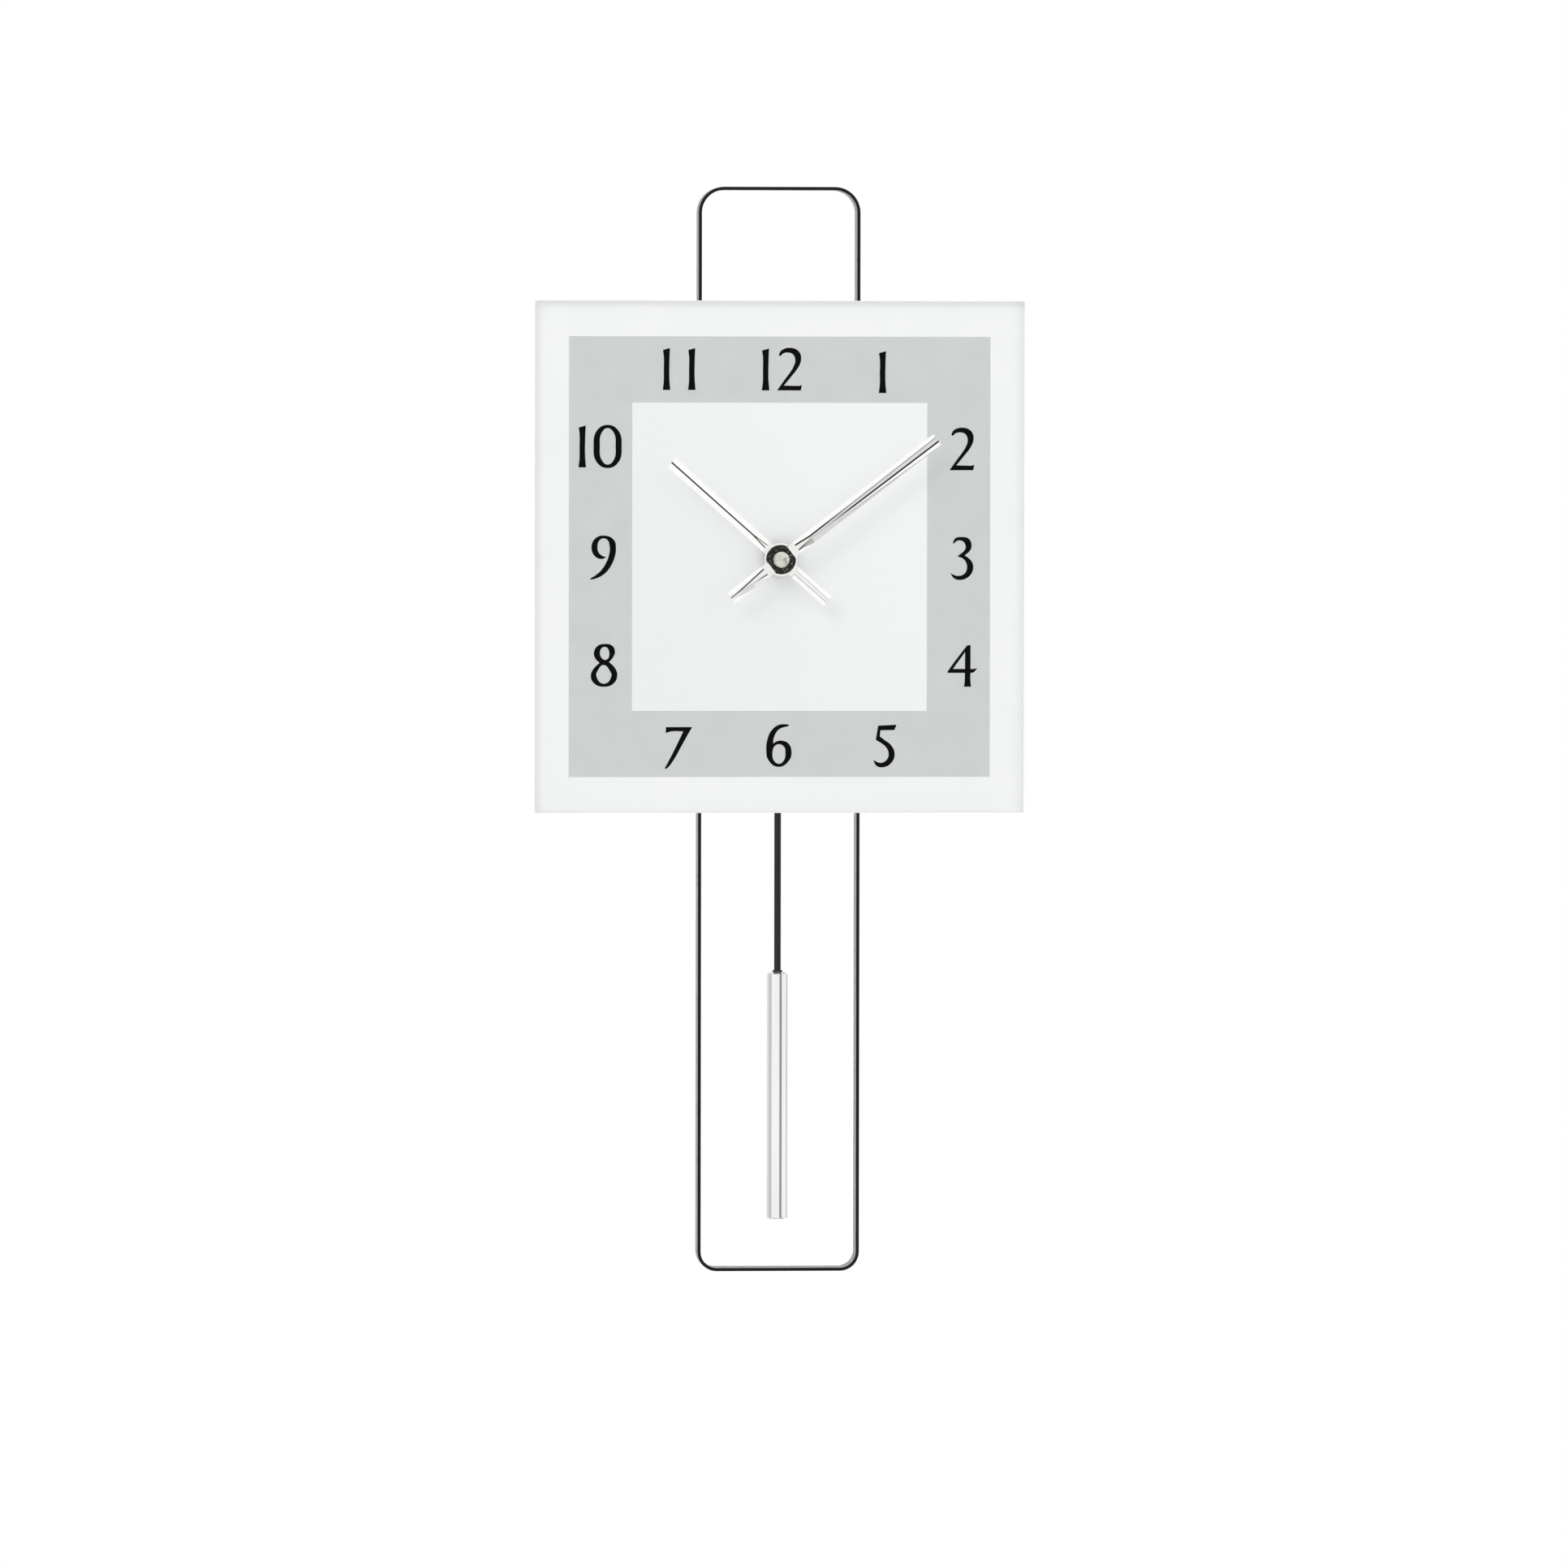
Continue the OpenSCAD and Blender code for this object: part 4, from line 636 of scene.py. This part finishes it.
bmesh.ops.create_circle(disc, cap_ends=True, segments=96, radius=FLOOR_RADIUS)
floor = placed("studio_floor", solid_mesh(disc, "studio_floor", floor_paint.material))
floor.location.z = FLOOR_DEPTH
for name in ("hour_hand", "minute_hand", "minute_collet", "hand_cap"):
    nodes[name].visible_diffuse = False
nodes["frame_strip"].visible_glossy = False
print("lamps:", [light.name for light in bpy.data.lights], "and a floor of", FLOOR_RADIUS, "m")

# %% [markdown]
# The glass
#
# The CAD glass lies flat on the sheet behind it, face on face. Two faces in one plane
# confuse a renderer, because a ray can't tell which one comes first. The piece below is the
# same glass with its rear face a few hundredths of a millimetre forward, and it stands for
# the CAD glass.

# %% Glass with a hair's breadth behind it
HAIR = 0.06 * MM
glass_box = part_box("dial_glass")
glass_mesh = nodes["dial_glass"].data.copy()
glass_rear = max(v.co.y for v in glass_mesh.vertices)
for vertex in glass_mesh.vertices:
    if vertex.co.y > glass_rear - 0.3 * HAIR:
        vertex.co.y -= HAIR
glass = placed("clear_glass", glass_mesh)
glass_mesh.materials.clear()
glass_mesh.materials.append(finishes["glass"])
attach(glass, "frame")
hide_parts("dial_glass")
print("glass", [round(v / MM, 2) for v in glass_box[0]], [round(v / MM, 2) for v in glass_box[1]])

# %% [markdown]
# The numbers
#
# The numbers are screen-printed in matt black on the front of the glass: they show full
# black, with no veil of reflections over them. They throw no shadow here, because the
# photograph has none on the foil. They are slim numerals with thick sides and thin tops.
# Each one is drawn as a closed curve in millimetres from its lower left corner. A point with
# three values is a corner, and the others are rounded by Blender's automatic handles, so an
# outline has only the points that its shape needs. The bowls of some numerals are holes,
# which are closed curves of their own.

# %% Outlines of the numerals
SHARP = True


def oval(left, right, foot, top, shoulder=0.76):
    """Eight points of an oval whose shoulders are a little squarer than an ellipse's."""
    half_width, half_height = (right - left) / 2, (top - foot) / 2
    steps = ((-1, 0), (-shoulder, -shoulder), (0, -1), (shoulder, -shoulder),
             (1, 0), (shoulder, shoulder), (0, 1), (-shoulder, shoulder))
    return [(left + half_width * (1 + a), foot + half_height * (1 + b)) for a, b in steps]


numerals = {
    "0": [oval(-0.2, 12.75, 0.1, 20.1, 0.75), oval(2.53, 10.11, 1.55, 18.8, 0.755)],
    "1": [[(-0.05, 18.5, SHARP), (3, 19.35, SHARP), (2.85, 16), (2.76, 12.8), (2.76, 4.8),
           (3.15, 0, SHARP), (-0.15, 0, SHARP), (0.3, 4), (0.32, 9), (0.33, 15.5)]],
    "2": [[(0.35, 16.4, SHARP), (1.05, 18.05), (2.5, 19.15), (5.3, 19.75), (8.3, 19.05),
           (10.15, 17.2), (10.64, 15), (10.3, 12.9), (8.85, 10.05), (6.45, 7), (2.4, 2.05, SHARP),
           (9.8, 1.9, SHARP), (10.95, 2.3, SHARP), (10.5, 0, SHARP), (-0.35, 0, SHARP),
           (3.2, 5), (5.45, 8), (7.25, 11), (8.07, 14.1), (6.9, 16.9), (4.7, 17.7), (2.4, 17.35),
           (0.9, 16.1, SHARP)]],
    "3": [[(0.95, 17.1, SHARP), (1.85, 19.1), (4.9, 19.85), (8.25, 19.05), (9.5, 16),
           (8.95, 13.9), (7.4, 12.3), (6.15, 11.4, SHARP), (8.2, 10), (9.85, 8), (10.32, 5.8),
           (9.5, 2.9), (7.2, 0.75), (4.1, -0.05), (1.6, 0.6), (-0.1, 2.8, SHARP), (1.7, 1.95),
           (3.4, 1.65), (6, 2.4), (7.5, 4.8), (7.2, 8), (5.5, 10), (3.15, 11, SHARP),
           (4.6, 12), (6.6, 14), (6.93, 15.6), (6.1, 17.6), (4.1, 18.5), (2.4, 18.1),
           (1.35, 17, SHARP)]],
    "4": [[(8.9, 19.2, SHARP), (10.3, 19.4, SHARP), (10.33, 8.1, SHARP), (12.2, 8.2),
           (13.4, 8.5, SHARP), (11.6, 6.65), (10.28, 6.5, SHARP), (10.3, 3), (10.6, 0, SHARP),
           (7.5, 0, SHARP), (7.85, 3), (7.88, 6.5, SHARP), (-0.25, 6.5, SHARP),
           (-0.3, 6.9, SHARP), (3.3, 12, SHARP)],
          [(1.95, 8.15, SHARP), (7.95, 8.15, SHARP), (7.98, 16.5, SHARP)]],
    "5": [[(2, 19.35, SHARP), (10.4, 19.75, SHARP), (9.5, 17.5, SHARP), (2.9, 17.4, SHARP),
           (2.6, 14.3, SHARP), (4.42, 13), (8.1, 10), (9.58, 6.2), (8, 2), (3.9, 0), (1, 0.9),
           (-0.1, 3.2, SHARP), (1.4, 2.3), (3.3, 1.9), (6, 3.3), (6.98, 6.2), (5.9, 9.2),
           (3.9, 11), (0.95, 12.8, SHARP)]],
    "6": [[(10.35, 19.6, SHARP), (8.4, 19.85), (5.4, 19.4), (2.4, 17), (0.85, 14.1),
           (-0.1, 8.5), (1, 3.05), (5.6, 0.05), (10.4, 2.9), (11.6, 7.1), (10.2, 10.8),
           (7.3, 12.1), (4.6, 11.75), (2.9, 10.6, SHARP), (3.4, 14), (5.6, 17.5),
           (10.3, 19.2, SHARP)],
          [(5.7, 10.65), (8.2, 9.5), (8.92, 6.5), (7.9, 2.5), (5.7, 1.3), (3.3, 2.9),
           (2.66, 6.8), (3.5, 9.5)]],
    "7": [[(0.15, 19.35, SHARP), (12.1, 19.35, SHARP), (10.2, 16.05), (7.4, 11), (2.8, 3),
           (0.6, 0.4), (-0.1, 0, SHARP), (-0.45, 0.1, SHARP), (1.63, 4), (4.69, 10),
           (8.3, 17.55, SHARP), (2.4, 17.5), (0, 16.8, SHARP)]],
    "8": [[(6.6, 19.85), (9.8, 19), (11, 16.6), (10.2, 13.8), (8.2, 11.5, SHARP), (11.2, 8.4),
           (12.1, 5.3), (10.6, 1.7), (6, 0), (1.5, 1.5), (-0.08, 4.6), (1, 8),
           (4.05, 11.1, SHARP), (1.9, 13.4), (1.4, 16), (3, 18.9)],
          [(6.3, 18.7), (8.57, 16), (6.8, 12.4), (3.95, 15.9)],
          [(5.7, 10.2), (8.9, 7.3), (9.54, 4.8), (6, 1.2), (2.35, 4.8), (3.2, 7.9)]],
    "9": [[(-0.4, 0, SHARP), (1.75, 0.45), (5.05, 2), (7.3, 4), (9.35, 7), (10.6, 10),
           (11.33, 14.5), (10.4, 18.4), (6.1, 20.4), (1.8, 19.05), (0.07, 15), (1.6, 11),
           (4.7, 9.65), (6.7, 10.4, SHARP), (5.1, 10.9), (3.3, 12.5), (2.68, 15.4), (3.6, 18.3),
           (5.6, 19.3), (7.6, 18.4), (8.62, 15.2), (8.4, 12), (7.05, 8), (4.4, 4), (2.2, 2.05),
           (-0.4, 0.4, SHARP)]],
}

print("outlines:", {digit: len(outlines) for digit, outlines in numerals.items()})

# %% [markdown]
# Printing
#
# Ink is pressed through a screen and spreads a little, so each outline is filled, swollen by
# about a tenth of a millimetre, given the thickness of a film of ink and stood upright on
# the glass. The places were measured one by one, because a printed dial is never quite
# square to its glass.

# %% Print them on the dial
# Each numeral with its left edge and foot, in millimetres from the middle of the print.
printed_dial = [
    ("1", -8.55, 78.25), ("2", -1.1, 78.25), ("1", 46.4, 77.1), ("2", 80.05, 41.0),
    ("3", 80.3, -10.4), ("4", 79.1, -60.55), ("5", 44.2, -98.35), ("6", -6.3, -98.15),
    ("7", -53.6, -99.0), ("8", -88.7, -60.55), ("9", -88.6, -10.4), ("1", -94.5, 42.1),
    ("0", -87.4, 41.7), ("1", -55.05, 78.4), ("1", -43.2, 78.4)]
PRINT_THICKNESS = 0.02 * MM
INK_SPREAD = 0.12
PRINT_RIGHT, PRINT_UP = 0.1, -0.18  # from the middle of the glass to the middle of the print
print_plane = glass_box[0].y - PRINT_THICKNESS


def evaluated(thing):
    """The mesh of an object once its curve is filled or its modifiers are applied."""
    bpy.context.view_layer.update()
    depsgraph = bpy.context.evaluated_depsgraph_get()
    return bpy.data.meshes.new_from_object(thing.evaluated_get(depsgraph))


def printed(name, outlines, left, foot):
    """One numeral as a filled curve, turned into a mesh that stands upright on the dial."""
    curve = bpy.data.curves.new(name, "CURVE")
    curve.dimensions, curve.fill_mode = "2D", "BOTH"
    curve.extrude, curve.resolution_u = PRINT_THICKNESS / MM / 2, 10
    curve.offset = INK_SPREAD
    for outline in outlines:
        spline = curve.splines.new("BEZIER")
        spline.bezier_points.add(len(outline) - 1)
        spline.use_cyclic_u = True
        for point, place in zip(spline.bezier_points, outline):
            point.co = (place[0], place[1], 0)
            kind = "VECTOR" if len(place) == 3 else "AUTO"
            point.handle_left_type = point.handle_right_type = kind
    drawn = placed(name + "_curve", curve)
    mesh = evaluated(drawn)
    bpy.data.objects.remove(drawn)
    middle = (glass_box[0] + glass_box[1]) / 2
    spot = Vector((middle.x + (left + PRINT_RIGHT) * MM, print_plane,
                   middle.z + (foot + PRINT_UP) * MM))
    mesh.transform(Matrix.Translation(spot) @ Matrix.Rotation(math.radians(90), 4, "X")
                   @ Matrix.Scale(MM, 4))
    mesh.materials.clear()
    mesh.materials.append(ink.material)
    piece = placed(name, mesh)
    piece.visible_shadow = piece.visible_diffuse = False
    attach(piece, "frame")
    return max(v.co.x for v in mesh.vertices) - min(v.co.x for v in mesh.vertices)


ink = Finish("printed_ink", paint(6, 6, 7), 0.5, Specular_IOR_Level=0.05)
ink.clouds(paint(12, 12, 13), 2.0).worn(0.06, 0.5)
widths = [printed(f"numeral_{digit}_at_{int(left * 10 + 1000)}_{int(foot * 10 + 1000)}",
                  numerals[digit], left, foot) for digit, left, foot in printed_dial]
print(len(widths), "numerals printed, widths in mm:", [round(width / MM, 1) for width in widths])

# %% [markdown]
# Screw heads
#
# A CAD screw needs only its shank and its head to fit. The real one is driven by a cross
# recess, and a screw without one looks wrong from close by. A tapered cross is cut from a
# copy of each head with a Boolean, and the copy stands for the CAD screws. The faces of the
# cut take the cutter's dark finish: a painted shade for the depth of the recess, together
# with the oil and dust that stay in it.

# %% Cross recesses
def turned(outline, angle):
    """An outline turned by an angle in radians."""
    sine, cosine = math.sin(angle), math.cos(angle)
    return [(a * cosine - b * sine, a * sine + b * cosine) for a, b in outline]


def cross_outline(reach, half):
    """Twelve corners of a cross, in order round it."""
    quarter = [(half, reach), (half, half), (reach, half)]
    return [corner for step in range(4) for corner in turned(quarter, -math.pi / 2 * step)]


def prism(tool, outline, x, z, near, far, taper=1.0):
    """Adds an upright outline to a mesh, from one depth to another, scaled at the second."""
    rings = [[tool.verts.new((x + a * s, y, z + b * s)) for a, b in outline]
             for y, s in ((near, 1.0), (far, taper))]
    tool.faces.new(rings[0])
    tool.faces.new(rings[1][::-1])
    for i in range(len(outline)):
        j = (i + 1) % len(outline)
        tool.faces.new((rings[0][i], rings[1][i], rings[1][j], rings[0][j]))


def recessed(name, reach, half, depth):
    """Cuts a cross into each of the four heads of a node's screws."""
    mesh = nodes[name].data.copy()
    low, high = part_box(name)
    middle = (low + high) / 2
    tool = bmesh.new()
    for side, level_side in ((-1, -1), (-1, 1), (1, -1), (1, 1)):
        head = [v.co for v in mesh.vertices if (v.co.x - middle.x) * side > 0
                and (v.co.z - middle.z) * level_side > 0]
        x = (min(v.x for v in head) + max(v.x for v in head)) / 2
        z = (min(v.z for v in head) + max(v.z for v in head)) / 2
        stopped_at = math.radians(23 * side + 41 * level_side)  # no two screws stop alike
        prism(tool, turned(cross_outline(reach * MM, half * MM), stopped_at), x, z,
              high.y + 0.3 * MM, high.y - depth * MM, 0.75)
    bmesh.ops.recalc_face_normals(tool, faces=tool.faces[:])
    # the cutter's dark finish goes to the recess faces as painted shade and dirt together
    cutter = placed(name + "_tool", solid_mesh(tool, name + "_tool", rivet.material))
    piece = placed(name + "_with_recess", mesh)
    cut = piece.modifiers.new("recess", "BOOLEAN")
    cut.object, cut.operation, cut.solver = cutter, "DIFFERENCE", "EXACT"
    cut.material_mode = "TRANSFER"
    done = evaluated(piece)
    piece.modifiers.clear()
    piece.data = done
    bpy.data.objects.remove(cutter)
    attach(piece, "frame")
    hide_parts(name)
    return len(mesh.polygons), len(done.polygons)


print("hanger screws, faces before and after", recessed("hanger_screws", 1.7, 0.42, 1.1))
print("case screws, faces before and after", recessed("case_screws", 1.25, 0.32, 0.8))

# %% [markdown]
# Marks on the cover
#
# The cover of the movement has a raised plus and minus beside the battery, picked out in
# white, so that nobody puts it in the wrong way round, and a raised rim round each button
# that keeps a finger from pressing two. They are shallow, so they are small meshes on it.

# %% Plus, minus and rims
BOSS_HEIGHT = 0.5 * MM  # the boss of the lever's axle stands this far off the cover
MARK_X, MARK_Z = 20, -57.4  # millimetres, below the two ends of the battery
RIM_STEPS = 48
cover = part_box("movement_rear_cover")[1].y - BOSS_HEIGHT


def on_cover(name, outlines, height):
    """Raised marks on the rear face of the cover, in one mesh."""
    built = bmesh.new()
    for outline, x, z in outlines:
        prism(built, [(a * MM, b * MM) for a, b in outline], x * MM, z * MM,
              cover + height * MM, cover - 0.1 * MM, 1.06)
    bmesh.ops.recalc_face_normals(built, faces=built.faces[:])
    piece = placed(name, solid_mesh(built, name, finishes["white_plastic"]))
    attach(piece, "frame")


dash = [(-1.6, -0.35), (1.6, -0.35), (1.6, 0.35), (-1.6, 0.35)]
plus = cross_outline(1.6, 0.35)
on_cover("polarity_marks", [(plus, MARK_X, MARK_Z), (dash, -MARK_X, MARK_Z)], 0.3)


def rim(inner, outer, height, x, z):
    """A rim made as on a lathe: a section turned round the button's axis."""
    section = [(inner, -0.1), (inner, height - 0.1), (inner + 0.1, height),
               (outer - 0.25, height), (outer, height - 0.2), (outer, -0.1)]
    built = bmesh.new()
    angles = [2 * math.pi * step / RIM_STEPS for step in range(RIM_STEPS)]
    spokes = [[built.verts.new((x + r * MM * math.cos(angle), cover + up * MM,
                                z + r * MM * math.sin(angle))) for r, up in section]
              for angle in angles]
    for spoke, following in zip(spokes, spokes[1:] + spokes[:1]):
        for i in range(len(section)):
            built.faces.new((spoke[i - 1], spoke[i], following[i], following[i - 1]))
    bmesh.ops.recalc_face_normals(built, faces=built.faces[:])
    mesh = solid_mesh(built, "button_rim", finishes["grey_plastic"])
    mesh.shade_smooth()
    return mesh


for button in ("set_button", "signal_button", "reset_button"):
    low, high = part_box(button)
    seat = (low + high) / 2
    ring_piece = placed(button + "_rim", rim(2.15, 2.9, 0.5, seat.x, seat.z))
    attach(ring_piece, "frame")
print("rims and marks stand on the cover at y", round(cover / MM, 2))

# %% [markdown]
# The sizes
#
# The box round the dressed clock has to be the same as that of the bare CAD model, because
# every piece added here lies on the clock or in it.
